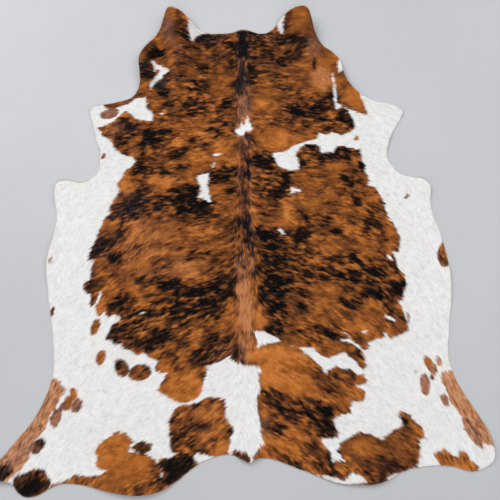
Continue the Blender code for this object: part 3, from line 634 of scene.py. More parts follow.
# Where the hair leans otherwise: centre x and y, reach along x and y, degrees added.
LEANS = (
    (-0.52, -0.08, 0.22, 0.28, 26),  # left ribs
    (-0.52, -1.03, 0.28, 0.22, -28),  # thighs
    (0.56, -1.00, 0.26, 0.22, -26),
    (0.20, -0.88, 0.20, 0.20, -12),  # rumps
    (-0.20, -0.92, 0.16, 0.18, -8),
)
# Beside the backbone the hair lies straight down, and turns outwards from TURN_START to
# TURN_REACH away from it.
TURN_START = 0.020
TURN_Y = (-0.80, -0.50, -0.10, 0.15)
TURN_REACH = (0.060, 0.115, 0.090, 0.045)

# The hair's shades, as seen in daylight (red, green, blue out of 255), with how dull
# they are.
# The first eight run from black to pale orange in about even steps, and make the brindle.
Shade = namedtuple("Shade", "name colour roughness")
SHADES = (
    Shade("hair_black", (9, 7, 7), 0.50),
    Shade("hair_umber", (34, 22, 15), 0.50),
    Shade("hair_dark_brown", (66, 39, 23), 0.50),
    Shade("hair_brown", (98, 57, 30), 0.50),
    Shade("hair_chestnut", (128, 74, 38), 0.50),
    Shade("hair_orange", (156, 91, 40), 0.50),
    Shade("hair_light_orange", (188, 111, 46), 0.52),
    Shade("hair_pale_orange", (212, 134, 64), 0.52),
    Shade("hair_russet", (88, 44, 24), 0.50),
    # hair_slate is the grey of painted sheen on black hair, and of the backbone's lines over black
    # hair.
    Shade("hair_slate", (62, 58, 62), 0.45),
    Shade("hair_mauve", (108, 72, 62), 0.50),
    Shade("hair_taupe", (146, 100, 82), 0.55),
    Shade("hair_tan", (196, 138, 102), 0.55),
    Shade("hair_sand", (214, 172, 144), 0.55),
    Shade("hair_white", (244, 244, 245), 0.60),
    Shade("hair_cream", (231, 228, 221), 0.60),
    Shade("hair_silver", (216, 217, 222), 0.60),
)
BRINDLE_SHADES = 8
BLACK, UMBER, DARK_BROWN, BROWN, CHESTNUT, ORANGE, LIGHT_ORANGE, PALE_ORANGE = range(8)
RUSSET, SLATE, MAUVE, TAUPE, TAN, SAND, WHITE, CREAM, SILVER = range(8, len(SHADES))

# The kinds of hair beside white and brindle, each a mix of shades from dark to light.
MIXES = {
    "dun": (DARK_BROWN, TAUPE, TAN, PALE_ORANGE, SAND, SAND),
    "roan": (DARK_BROWN, MAUVE, TAUPE, TAN, TAN, SAND),
    "tawny": (BROWN, CHESTNUT, ORANGE, LIGHT_ORANGE, PALE_ORANGE),
    "mauve": (UMBER, MAUVE, TAUPE, TAUPE, TAN),
    "faint": (TAUPE, SAND, SILVER, WHITE),
    "black": (BLACK, BLACK, UMBER),
}
SUEDE = (214, 196, 168)  # the cut edge and the flesh side
WHITE_MIX = (SILVER, CREAM, WHITE, WHITE, WHITE)

# How much of the brindle is darker than each tone, counted in shades from black.
TONES = (-0.6, 0.5, 1.5, 2.5, 3.5, 4.5, 5.5, 6.5, 7.6)
DARKER = (0.0, 0.12, 0.20, 0.30, 0.44, 0.64, 0.84, 0.96, 1.0)
SCATTER = 1.2  # how many shades single locks differ from the tone of their place
SLATE_SHARE = 0.5  # how much of the black hair is slate grey where there is painted sheen or the backbone's mauve hair
RED_BELOW = -0.5  # the backbone's browns are redder where its lightness is below this

# The brindle's ticks, drawn out along the hair: their width and length, their noise seed
# and their share in the tone. Then the rounder clouds in it: size, seed and share.
Tick = namedtuple("Tick", "width length seed share")
TICKS = (
    Tick(0.0023, 0.013, 20, 0.46),
    Tick(0.0040, 0.020, 21, 0.48),
    Tick(0.0080, 0.033, 22, 0.48),
    Tick(0.0155, 0.052, 27, 0.45),
)
Cloud = namedtuple("Cloud", "size seed share")
CLOUDS = (Cloud(0.035, 24, 0.40), Cloud(0.110, 23, 0.30))
# A patch's line is ragged, in metres: by a wave of a size and seed and by the ticks.
RAGGED_SIZE = (0.012, 25)
RAGGED_WAVE = 0.0050
RAGGED_FINE = 0.0017
RAGGED_HAIR = 0.0016
SPOT_RAGGED = 40  # how much of that is added to a spot's radii if it is 1 cm wide
# A mark's line is rough, in its own radii: by a wave and by the ticks.
ROUGH_SIZE = (0.016, 26)
ROUGH_WAVE = 0.55
ROUGH_BROAD = 0.14
ROUGH_FINE = 0.10
# The backbone's strip wobbles with the ticks, in centimetres.
WOBBLE_BROAD = 0.5
WOBBLE_WIDE = 0.3
# What moves a hair up or down in the mix of its kind, and in the white's.
MIX_LIGHT = 0.2
MIX_FINE = 0.14
MIX_BROAD = 0.10
MIX_PICK = 0.35
WHITE_FINE = 0.10
WHITE_HAIR = 0.08
WHITE_PICK = 0.6

LOCKS = 820000  # locks laid over the whole hide
LOCK_LENGTH = 0.017
LOCK_LENGTHS = (0.75, 1.25)  # times that, for single locks
LOCK_WIDTH = 0.0014
LOCK_WIDTHS = (0.7, 1.3)  # times that
ROOT_SHIFT = 0.6  # how far a root is off its place in the honeycomb, in steps
ROOTS_END = 0.0030  # the hair is rooted this far inside the cut edge,
SHORT_RIM = 0.03  # is up to RIM_CUT shorter on this much of the rim,
RIM_CUT = 0.25
TIPS_END = 0.0015  # and reaches this far past the edge:
TRIM = 0.72  # what reaches further is cut to this share of its length,
TRIMS = 4  # up to so many times
LOCK_TURN = 0.16  # how much single locks turn off the growth, in radians,
CLUMP_TURN = 0.4  # and how much whole clumps of them do,
CLUMP = (0.02, 51)  # of this size, from this noise seed
LOCK_ROLL = 0.38  # how much a lock is rolled about its length, in radians
ROOT_DEPTH = 0.0003  # a root's middle is this deep in the leather,
ROOT_LIFT = 0.0006  # before the lock is lifted by this
TIP_LIFT = (0.0010, 0.0034)  # a tip stands this high on the leather,
TIP_DROOP = 0.0016  # is this much lower where it ends TIP_OUT past the edge,
TIP_OUT = 0.005
TIP_FLAT = 0.75  # and stands up by this share less there
COLOUR_FROM = (0.28, 0.62)  # a lock has the coat's colour at this share of its length,
COLOUR_STRAY = 0.0012  # give or take this
HAIR_SEED = 411
SKIN_SEEDS = (77, 78)  # for the colours of the leather under the hair
CELL = 0.004  # grid on which the slow fields are worked out
NOISE_SHIFT = (517.3, 911.7)  # keeps the noise's cells above 0
TICK_STEPS = 4  # a tick's noise is drawn out in this many steps to each side

# --------------------------------------------------------------- materials, floor and light
# How much a colour varies: its darkest and lightest brightness, and the pattern's scale
# (higher is finer) and detail.
Tint = namedtuple("Tint", "low high scale detail")
COLOURED_TINT = Tint(0.92, 1.08, 38.0, 3.0)
PALE_TINT = Tint(0.97, 1.03, 38.0, 3.0)
SUEDE_TINT = Tint(0.80, 1.10, 26.0, 6.0)
FLOOR_TINT = Tint(0.97, 1.03, 1.3, 3.0)
TINT_STOPS = (0.3, 0.7)  # where in the pattern those two are reached
PALE_ABOVE = 200  # a shade is pale if all parts of its colour are above this
HAIR_SHINE = 0.06
SKIN_ROUGHNESS = 0.7
SKIN_SCALE = 240.0  # of the pattern of painted shade that darkens the leather under the hair, between the roots,
SKIN_ROOT_SHADE = 0.5  # and how much of it does
SUEDE_ROUGHNESS = 0.92
NAP_SCALE = 900.0
NAP_STRENGTH = 0.35
NAP_HEIGHT = 0.0006
FLOOR_ROUGHNESS = 0.75
FLOOR_GREY = (178, 179, 183)
FLOOR_REACH = 9.0
FLOOR_DROP = 0.0005  # keeps the floor clear of the underside
# Each softbox: its name, place, what it is aimed at, size, and power in watts.
SOFTBOXES = (
    ("softbox_left", (-2.4, 2.4, 3.2), (0, 0.2, 0), (3.4, 2.4), 134),
    ("softbox_right", (2.8, 1.2, 3.2), (0, 0.1, 0), (2.6, 2.6), 66),
    ("softbox_front", (-0.4, -3.4, 3.4), (0, -0.3, 0), (3.2, 2.0), 60),
)
DAYLIGHT = 0.50
CAMERA_Y = -0.975
CAMERA_UP = 2.72
CAMERA_DOWN = 72.5  # degrees below level
LENS = 44.14  # millimetres, on a sensor of the next width
SENSOR = 36.0


# ------------------------------------------------------------------------ shape functions
def smooth_line(stations, closed):
    """Points along a Catmull-Rom curve through the stations, in their own columns."""
    rows = np.array(stations, float)
    count = len(rows)
    spans = count if closed else count - 1
    line = []
    for i in range(spans):
        places = [i - 1, i, i + 1, i + 2]
        if closed:
            before, start, end, after = (rows[k % count] for k in places)
        else:
            before, start, end, after = (rows[min(max(k, 0), count - 1)] for k in places)
        for step in range(CURVE_STEPS):
            t = step / CURVE_STEPS
            straight = 2 * start + (end - before) * t
            bent = (2 * before - 5 * start + 4 * end - after) * t**2
            line.append(0.5 * (straight + bent + (3 * start - before - 3 * end + after) * t**3))
    if not closed:
        line.append(rows[-1])
    return np.array(line)


def evenly_spaced(line, step, closed):
    """The same curve, with points about one step apart."""
    loop = np.vstack([line, line[:1]]) if closed else line
    gaps = np.hypot(*np.diff(loop[:, :2], axis=0).T)
    reached = np.concatenate([[0.0], np.cumsum(gaps)])
    count = max(2, round(reached[-1] / step))
    wanted = np.linspace(0.0, reached[-1], count + 1)
    if closed:
        wanted = wanted[:-1]
    columns = [np.interp(wanted, reached, column) for column in loop.T]
    return np.array(columns).T


def bump(distance):
    """1 at distance 0, falling smoothly to 0 at distance 1 and flat beyond it."""
    return np.clip(1.0 - distance**2, 0.0, None) ** 2


def fold_height(fold, x, y):
    """How far one fold lifts the sheet at the points x, y."""
    crest = smooth_line(fold, closed=False)
    nearest = np.full(x.shape, np.inf)
    height = np.zeros(x.shape)
    for start, end in zip(crest[:-1], crest[1:]):
        run_x, run_y, climb, widen_left, widen_right = end - start
        off_x = x - start[0]
        off_y = y - start[1]
        t = np.clip((off_x * run_x + off_y * run_y) / (run_x**2 + run_y**2), 0.0, 1.0)
        distance = np.hypot(off_x - t * run_x, off_y - t * run_y)
        on_left = run_x * off_y - run_y * off_x > 0.0
        reach = np.where(on_left, start[3] + t * widen_left, start[4] + t * widen_right)
        rise = start[2] + t * climb
        closer = distance < nearest
        height = np.where(closer, rise * bump(distance / reach), height)
        nearest = np.minimum(distance, nearest)
    return height


def oval(x, y, off, along, across, turn):
    """Distance from an oval's centre off, in its own radii, at the points x, y."""
    turn = np.radians(turn)
    off_x = x - off[0]
    off_y = y - off[1]
    lengthwise = (off_x * np.cos(turn) + off_y * np.sin(turn)) / along
    crosswise = (off_y * np.cos(turn) - off_x * np.sin(turn)) / across
    return np.hypot(lengthwise, crosswise)


def underside_height(x, y):
    """Height of the leather's underside above the surface that it lies on."""
    height = np.zeros(x.shape)
    for fold in FOLDS:
        height += fold_height(fold, x, y)
    for swell in SWELLS + CREASES:
        size = (swell.along, swell.across, swell.turn)
        height += swell.rise * bump(oval(x, y, (swell.x, swell.y), *size))
    return height


# ------------------------------------------------------------------------- noise and grids
def lattice(column, row, seed):
    """A repeatable random value from 0 to 1 for each whole column and row."""
    mix = (column * 374761393 + row * 668265263 + seed * 1442695041) & 0xFFFFFFFF
    mix = ((mix ^ (mix >> 13)) * 1274126177) & 0xFFFFFFFF
    return ((mix ^ (mix >> 16)) & 0xFFFF) / 65535.0


def blended(near_left, near_right, far_left, far_right, s, t):
    """The value between four corners, s of the way right and t of the way on."""
    near = near_left * (1 - s) + near_right * s
    far = far_left * (1 - s) + far_right * s
    return near * (1 - t) + far * t


def noise(x, y, size, seed):
    """Smooth value noise from 0 to 1 with cells of the given size."""
    u = x / size + NOISE_SHIFT[0]
    v = y / size + NOISE_SHIFT[1]
    column = np.floor(u).astype(np.int64)
    row = np.floor(v).astype(np.int64)
    s = u - column
    t = v - row
    corners = (lattice(column + i, row + j, seed) for j in (0, 1) for i in (0, 1))
    return blended(*corners, s * s * (3 - 2 * s), t * t * (3 - 2 * t))


def spread(values):
    """The same values moved and scaled to an average of 0 and a spread of 1."""
    return (values - values.mean()) / values.std()


def streaks(x, y, way, tick):
    """Noise drawn out along the hair's way, with a spread of 1."""
    total = np.zeros(x.shape)
    for k in range(-TICK_STEPS, TICK_STEPS + 1):
        reach = tick.length * k / (2 * TICK_STEPS)
        weight = 1.0 + math.cos(math.pi * k / (TICK_STEPS + 1))
        drawn = noise(x + reach * way[0], y + reach * way[1], tick.width, tick.seed)
        total += weight * drawn
    return spread(total)


def smooth_step(low, high, value):
    """0 up to low and 1 from high on, and a smooth climb between them."""
    t = np.clip((value - low) / (high - low), 0.0, 1.0)
    return t * t * (3 - 2 * t)


class Grid:
    """A field worked out on a square grid over the hide, read between its points."""

    low = np.array([-1.14, -1.26])
    shape = (571, 631)

    def __init__(self, values):
        self.values = values

    @classmethod
    def places(cls):
        column, row = np.meshgrid(*(np.arange(n) for n in cls.shape), indexing="ij")
        return cls.low[0] + CELL * column, cls.low[1] + CELL * row

    def __call__(self, x, y):
        u = np.clip((x - self.low[0]) / CELL, 0, self.shape[0] - 1.001)
        v = np.clip((y - self.low[1]) / CELL, 0, self.shape[1] - 1.001)
        column = u.astype(int)
        row = v.astype(int)
        corners = (self.values[column + i, row + j] for j in (0, 1) for i in (0, 1))
        return blended(*corners, u - column, v - row)


def signed_distance(line, reach=0.05):
    """A grid of distances to a closed line, below 0 inside it, up to the given reach."""
    x, y = Grid.places()
    xs, ys = x[:, 0], y[0]
    odd = np.zeros(x.shape, bool)
    far = np.full(x.shape, reach)
    for start, end in zip(line, np.roll(line, -1, axis=0)):
        low_y, high_y = sorted((start[1], end[1]))
        rows = slice(*np.searchsorted(ys, (low_y, high_y)))
        if rows.stop > rows.start:
            along = (ys[rows] - start[1]) / (end[1] - start[1])
            crossing = start[0] + along * (end[0] - start[0])
            odd[:, rows] ^= xs[:, None] < crossing[None, :]
        low_x, high_x = sorted((start[0], end[0]))
        near_x = slice(*np.searchsorted(xs, (low_x - reach, high_x + reach)))
        near_y = slice(*np.searchsorted(ys, (low_y - reach, high_y + reach)))
        off_x = xs[near_x, None] - start[0]
        off_y = ys[None, near_y] - start[1]
        run = end - start
        length = max(run @ run, 1e-12)
        t = np.clip((off_x * run[0] + off_y * run[1]) / length, 0.0, 1.0)
        gap = np.hypot(off_x - t * run[0], off_y - t * run[1])
        far[near_x, near_y] = np.minimum(far[near_x, near_y], gap)
    return Grid(np.where(odd, -far, far))


# --------------------------------------------------------------------------- the coat
def growth(x, y):
    """The hair's way over the hide, as unit x and y parts."""
    off = x + BACK_LEFT + BACK_SLANT * y
    side = np.where(off < 0.0, -1.0, 1.0)
    off = np.abs(off)
    angle = np.interp(y, BACK_Y, BACK_ANGLE)
    belly = np.interp(off, BELLY_U, BELLY_ANGLE)
    angle = angle + belly * np.interp(y, BELLY_Y, BELLY_SHARE)
    for degrees, size, seed in GROWTH_WAVES:
        angle = angle + degrees * (noise(x, y, size, seed) - 0.5)
    for lean_x, lean_y, reach_x, reach_y, degrees in LEANS:
        near = bump(np.hypot((x - lean_x) / reach_x, (y - lean_y) / reach_y))
        angle = angle + degrees * near
    turned = smooth_step(TURN_START, np.interp(y, TURN_Y, TURN_REACH), off)
    angle = angle + (90.0 - angle) * (1.0 - turned)
    for whorl_x, whorl_y, reach, strength in WHORLS:
        near = bump(np.hypot(x - whorl_x, y - whorl_y) / reach)
        around = np.degrees(np.arctan2(y - whorl_y, side * (x - whorl_x)))
        angle = angle + np.minimum(1.0, strength * near) * (-around - angle)
    angle = np.radians(angle)
    return side * np.cos(angle), -np.sin(angle)


def marked(marks, x, y, way, rough):
    """How strongly the ovals of a table mark the points x, y, from 0 to 1."""
    clear = np.ones(x.shape)
    for mark_x, mark_y, along, across, depth in marks:
        off_x = 100 * x - mark_x
        off_y = 100 * y - mark_y
        reach = MARK_REACH * max(along, across)
        near = np.nonzero((np.abs(off_x) < reach) & (np.abs(off_y) < reach))[0]
        off_x, off_y = off_x[near], off_y[near]
        lengthwise = (off_x * way[0][near] + off_y * way[1][near]) / along
        crosswise = (off_y * way[0][near] - off_x * way[1][near]) / across
        radius = np.hypot(lengthwise, crosswise) + rough[near]
        clear[near] *= 1.0 - depth * (1.0 - smooth_step(*MARK_FADE, radius))
    return 1.0 - clear


def backbone(x, y, wobble):
    """How much of the hair at x, y is mauve along the backbone, and how much lighter."""
    places, *columns = np.array(BACKBONE).T
    left, right, lines, fill, light = (np.interp(100 * y, places, c) for c in columns)
    off = 100 * x + wobble
    line = np.maximum(bump((off - left) / BACK_LINE), bump((off - right) / BACK_LINE))
    between = smooth_step(-BACK_SOFT, BACK_SOFT, off - left)
    between = between * smooth_step(-BACK_SOFT, BACK_SOFT, right - off)
    ends = smooth_step(*BACK_END, 100 * y)
    return ends * np.maximum(lines * line, fill * between), ends * light * between


def markings(x, y, patches, ragged):
    """The kind of the hair at x, y and its lightness, by the patches and the spots."""
    kind = np.full(x.shape, "white", "U8")
    light = np.zeros(x.shape)
    for patch, gap in patches:
        here = gap(x, y) + ragged < 0.0
        kind[here] = patch.kind
        light[here] = patch.light
    for spot in SPOTS:
        size = (spot.long, spot.wide, spot.turn)
        radius = oval(100 * x, 100 * y, (spot.x, spot.y), *size)
        here = radius + SPOT_RAGGED * ragged / spot.wide < 1.0
        kind[here] = spot.kind
        light[here] = spot.light
    return kind, light


def brindle_shades(tone, brindle, pick):
    """A brindle shade for each of the brindle places, by the rank of its tone there."""
    rank = np.empty(len(brindle))
    rank[np.argsort(tone[brindle])] = (np.arange(len(brindle)) + 0.5) / len(brindle)
    depth = np.full(tone.shape, 0.0)
    depth[brindle] = np.interp(rank, DARKER, TONES) + SCATTER * (pick[brindle] - 0.5)
    return np.clip(np.rint(depth), 0, BRINDLE_SHADES - 1).astype(int)


def mixed(shades, value):
    """A shade from the mix for each value, from 0 at its dark end to 1 at its light."""
    place = np.clip((value * len(shades)).astype(int), 0, len(shades) - 1)
    return np.array(shades)[place]


def coat(x, y, patches, pick, second):
    """The shade of the hair at x, y. pick and second are random values for each."""
    way = growth(x, y)
    hair, fine, broad, wide = (streaks(x, y, way, tick) for tick in TICKS)
    cloud, haze = (spread(noise(x, y, size, seed)) for size, seed, _ in CLOUDS)
    ragged = RAGGED_WAVE * (noise(x, y, *RAGGED_SIZE) - 0.5)
    ragged = ragged + RAGGED_FINE * fine + RAGGED_HAIR * hair
    kind, light = markings(x, y, patches, ragged)

    rough = ROUGH_WAVE * (noise(x, y, *ROUGH_SIZE) - 0.5)
    rough = rough + ROUGH_BROAD * broad + ROUGH_FINE * fine
    dark, clear, calming, painted_sheen, redness = (
        marked(marks, x, y, way, rough)
        for marks in (DARK_MARKS, CLEAR_MARKS, CALM_MARKS, PAINTED_SHEENS, RUSSETS)
    )
    mauve, paler = backbone(x, y, WOBBLE_BROAD * broad + WOBBLE_WIDE * wide)
    calm = (1.0 - CLEAR_CALM * clear) * (1.0 - MARKED_CALM * calming)
    waves = (hair, fine, broad, wide, cloud, haze)
    tone = sum(part.share * wave for part, wave in zip(TICKS + CLOUDS, waves))
    tone = spread(tone) * calm - DARKEN * dark + LIGHTEN * clear + light + paler
    shade = brindle_shades(tone, np.nonzero(kind == "brindle")[0], pick)

    # Painted sheen, and the backbone's own mauve hair: slate on half the black hair, mauve, taupe
    # or tan on the rest.
    slates = np.where(pick < SLATE_SHARE, SLATE, shade)
    limits = [shade < DARK_BROWN, shade < CHESTNUT, shade < LIGHT_ORANGE]
    greys = np.select(limits, [slates, MAUVE, TAUPE], TAN)
    reddish = ((paler < RED_BELOW) | (pick < redness)) & (shade > UMBER) & (shade < CHESTNUT)
    shade = np.select([second < np.maximum(mauve, painted_sheen), reddish], [greys, RUSSET], shade)

    white = 0.5 + WHITE_FINE * fine + WHITE_HAIR * hair + WHITE_PICK * (pick - 0.5)
    result = mixed(WHITE_MIX, white)
    mix = 0.5 + MIX_LIGHT * light + MIX_FINE * fine + MIX_BROAD * broad
    mix = mix + MIX_PICK * (pick - 0.5)
    for name, shades in MIXES.items():
        result = np.where(kind == name, mixed(shades, mix), result)
    return np.where(kind == "brindle", shade, result)


# --------------------------------------------------------------------------- materials
def linear(colour):
    """A colour of three parts out of 255, as linear light from 0 to 1."""
    parts = [part / 255 for part in colour]
    return [v / 12.92 if v <= 0.04045 else ((v + 0.055) / 1.055) ** 2.4 for v in parts]


def principled(name, roughness):
    """A new node material, its shader, its nodes and a function that links two ends."""
    material = bpy.data.materials.new(name)
    material.use_nodes = True
    tree = material.node_tree
    shader = tree.nodes["Principled BSDF"]
    shader.inputs["Roughness"].default_value = roughness
    return material, shader, tree.nodes, tree.links.new


def pattern_node(nodes, link, scale):
    """Noise over object space."""
    place = nodes.new("ShaderNodeTexCoord")
    pattern = nodes.new("ShaderNodeTexNoise")
    pattern.inputs["Scale"].default_value = scale
    link(place.outputs["Object"], pattern.inputs["Vector"])
    return pattern


def tinted(nodes, link, colour, tint):
    """A colour, out of 255, that varies in brightness over object space."""
    pattern = pattern_node(nodes, link, tint.scale)
    pattern.inputs["Detail"].default_value = tint.detail
    ramp = nodes.new("ShaderNodeValToRGB")
    bright = (tint.low, tint.high)
    for stop, share, where in zip(ramp.color_ramp.elements, bright, TINT_STOPS):
        stop.position = where
        stop.color = (*(min(1.0, part * share) for part in linear(colour)), 1.0)
    link(pattern.outputs["Fac"], ramp.inputs["Fac"])
    return ramp.outputs["Color"]


def hair_material(shade):
    """Locks of one shade, the white ones a little more even than the coloured."""
    material, shader, nodes, link = principled(shade.name, shade.roughness)
    tint = PALE_TINT if min(shade.colour) > PALE_ABOVE else COLOURED_TINT
    link(tinted(nodes, link, shade.colour, tint), shader.inputs["Base Color"])
    shader.inputs["Specular IOR Level"].default_value = HAIR_SHINE
    return material


def skin_material():
    """The leather under the hair, in the coat's own colour at each point, darkened in a pattern by
    painted shade between the roots.
    """
    material, shader, nodes, link = principled("skin_under_hair", SKIN_ROUGHNESS)
    coat_colour = nodes.new("ShaderNodeVertexColor")
    coat_colour.layer_name = "coat"
    pattern = pattern_node(nodes, link, SKIN_SCALE)
    # painted shade between the hair's roots
    darker = nodes.new("ShaderNodeMix")
    darker.data_type = "RGBA"
    darker.blend_type = "MULTIPLY"
    darker.inputs["Factor"].default_value = SKIN_ROOT_SHADE
    link(coat_colour.outputs["Color"], darker.inputs[6])
    link(pattern.outputs["Fac"], darker.inputs[7])
    link(darker.outputs[2], shader.inputs["Base Color"])
    return material


def suede_material():
    """The flesh side and the cut edge: pale napped leather."""
    material, shader, nodes, link = principled("flesh_side_suede", SUEDE_ROUGHNESS)
    link(tinted(nodes, link, SUEDE, SUEDE_TINT), shader.inputs["Base Color"])
    nap = pattern_node(nodes, link, NAP_SCALE)
    relief = nodes.new("ShaderNodeBump")
    relief.inputs["Strength"].default_value = NAP_STRENGTH
    relief.inputs["Distance"].default_value = NAP_HEIGHT
    link(nap.outputs["Fac"], relief.inputs["Height"])
    link(relief.outputs["Normal"], shader.inputs["Normal"])
    return material


def floor_material():
    """A plain pale floor."""
    material, shader, nodes, link = principled("pale_floor", FLOOR_ROUGHNESS)
    link(tinted(nodes, link, FLOOR_GREY, FLOOR_TINT), shader.inputs["Base Color"])
    return material


# ------------------------------------------------------------------------------- pieces
def placed(name, data):
    """A new object of the scene that shows the data."""
    thing = bpy.data.objects.new(name, data)
    bpy.context.scene.collection.objects.link(thing)
    return thing


def planar_uv(mesh, points):
    """A map straight down on the hide, from the points of each face corner in turn."""
    layer = mesh.uv_layers.new(name="OFBake")
    flat = (points[:, :2] - Grid.low) / (CELL * max(Grid.shape))
    layer.data.foreach_set("uv", flat.astype(np.float32).ravel())


def well_apart(groups):
    """All points of the groups, leaving out any too near to one taken before it."""
    taken = []
    for points, gap in groups:
        tree = kdtree.KDTree(len(taken))
        for i, point in enumerate(taken):
            tree.insert((*point, 0.0), i)
        tree.balance()
        fresh = [p for p in points if not taken or tree.find((*p, 0.0))[2] >= gap]
        taken += fresh
    return taken


def honeycomb(step):
    """Points in a honeycomb over the whole grid."""
    high = Grid.low + CELL * np.array(Grid.shape)
    row_step = step * math.sqrt(3) / 2
    rows = int((high[1] - Grid.low[1]) / row_step)
    columns = int((high[0] - Grid.low[0]) / step)
    row, column = np.meshgrid(np.arange(rows), np.arange(columns), indexing="ij")
    x = Grid.low[0] + step * (column + 0.5 * (row % 2)).ravel()
    return x, Grid.low[1] + row_step * row.ravel()


def sheet_plan(rim, edge_gap):
    """The sheet seen from above: its points and its triangles, all turned upwards."""
    groups = [(list(map(tuple, rim)), 0.0)]
    for fold in FOLDS:
        line = evenly_spaced(smooth_line(fold, closed=False), CREST_STEP, closed=False)
        kept = line[edge_gap(line[:, 0], line[:, 1]) < -CREST_END][:, :2]
        groups.append((list(map(tuple, kept)), SUPPORT_GAP * CREST_STEP))
    x, y = honeycomb(BODY_STEP)
    keep = edge_gap(x, y) < -0.5 * RIM_STEP
    points = np.column_stack([x[keep], y[keep]])
    groups.append((list(map(tuple, points)), SUPPORT_GAP * BODY_STEP))
    plan = [Vector(point) for point in well_apart(groups)]
    inside_only, same_point = 1, 1e-6
    points, _, faces, *_ = geometry.delaunay_2d_cdt(
        plan, [], [list(range(len(rim)))], inside_only, same_point
    )
    flat = np.array(points)
    faces = np.array(faces)
    a, b, c = (flat[faces[:, k]] for k in range(3))
    turned = np.cross(b - a, c - a) < 0.0
    faces[turned] = faces[turned][:, ::-1]
    return flat, faces


def edge_wall(faces, count):
    """The cut edge's triangles, between the underside's points and the top's."""
    directed = faces[:, ((0, 1), (1, 2), (2, 0))].reshape(-1, 2)
    pairs = np.sort(directed, axis=1)
    code = pairs[:, 0] * count + pairs[:, 1]
    _, first, times = np.unique(code, return_index=True, return_counts=True)
    end, start = directed[first[times == 1]].T
    lower = np.column_stack([start, end, end + count])
    upper = np.column_stack([start, end + count, start + count])
    return np.vstack([lower, upper])


def paint_coat(mesh, flat, edge_gap, patches):
    """Gives the leather the coat's colour at each point, and bare suede at its rim."""
    order = np.arange(len(flat))
    pick, second = (lattice(order, order * 0, seed) for seed in SKIN_SEEDS)
    shade = coat(flat[:, 0], flat[:, 1], patches, pick, second)
    table = np.array([linear(look.colour) for look in SHADES])
    colour = np.ones((2 * len(flat), 4))
    colour[:, :3] = np.vstack([table[shade], table[shade]])
    bare = edge_gap(flat[:, 0], flat[:, 1]) > -SUEDE_RIM
    colour[np.tile(bare, 2), :3] = linear(SUEDE)
    layer = mesh.color_attributes.new("coat", "FLOAT_COLOR", "POINT")
    layer.data.foreach_set("color", colour.astype(np.float32).ravel())


def leather_sheet(rim, edge_gap, height, patches, middle):
    """The leather: a closed sheet over the folds, hair side up."""
    flat, faces = sheet_plan(rim, edge_gap)
    count = len(flat)
    low = height(flat[:, 0], flat[:, 1])
    bottom = np.column_stack([flat - middle, low])
    top = np.column_stack([flat - middle, low + LEATHER])
    # points: bottom first, then top; a face is turned so that it looks outwards
    every_point = np.vstack([bottom, top])
    every_face = np.vstack([faces[:, ::-1], faces + count, edge_wall(faces, count)])
    mesh = bpy.data.meshes.new("hide_leather")
    mesh.from_pydata(every_point.tolist(), [], every_face.tolist())
    mesh.update()
    slots = np.ones(len(every_face), int)
    slots[len(faces) : 2 * len(faces)] = 0
    mesh.polygons.foreach_set("material_index", slots)
    smooth = np.ones(len(every_face), bool)
    smooth[2 * len(faces) :] = False
    mesh.polygons.foreach_set("use_smooth", smooth)
    planar_uv(mesh, every_point[every_face.ravel()])
    paint_coat(mesh, flat, edge_gap, patches)
    mesh.materials.append(skin_material())
    mesh.materials.append(suede_material())
    return placed("hide_leather", mesh)


def lock_plan(rng, edge_gap, area):
    """Where each lock is rooted, its way as unit x and y parts, and its length."""
    step = math.sqrt(area / LOCKS * 2 / math.sqrt(3))
    x, y = honeycomb(step)
    x = x + step * rng.uniform(-ROOT_SHIFT, ROOT_SHIFT, len(x))
    y = y + step * rng.uniform(-ROOT_SHIFT, ROOT_SHIFT, len(y))
    keep = edge_gap(x, y) < -ROOTS_END
    x, y = x[keep], y[keep]
    count = len(x)
    way_x, way_y = growth(x, y)
    turn = rng.normal(0.0, LOCK_TURN, count) + CLUMP_TURN * (noise(x, y, *CLUMP) - 0.5)
    go_x = way_x * np.cos(turn) - way_y * np.sin(turn)
    go_y = way_x * np.sin(turn) + way_y * np.cos(turn)
    length = LOCK_LENGTH * rng.uniform(*LOCK_LENGTHS, count)
    inner = np.clip(-edge_gap(x, y) / SHORT_RIM, 0.0, 1.0)
    length *= 1.0 - RIM_CUT + RIM_CUT * inner
    # a lock near the edge hardly hangs past it, so that the cut edge shows
    for _ in range(TRIMS):
        past = edge_gap(x + length * go_x, y + length * go_y)
        length = np.where(past > TIPS_END, length * TRIM, length)
    return x, y, go_x, go_y, length


def hair_mesh(look, corners, middle):
    """All locks of one shade, from the three corners of each."""
    points = corners.reshape(-1, 3)
    mesh = bpy.data.meshes.new(look.name)
    mesh.vertices.add(len(points))
    mesh.vertices.foreach_set("co", points.astype(np.float32).ravel())
    mesh.loops.add(len(points))
    mesh.loops.foreach_set("vertex_index", np.arange(len(points), dtype=np.int32))
    mesh.polygons.add(len(corners))
    starts = np.arange(0, len(points), 3, dtype=np.int32)
    mesh.polygons.foreach_set("loop_start", starts)
    mesh.update(calc_edges=True)
    planar_uv(mesh, points + np.array([*middle, 0.0]))
    mesh.materials.append(hair_material(look))
    return placed(look.name, mesh)


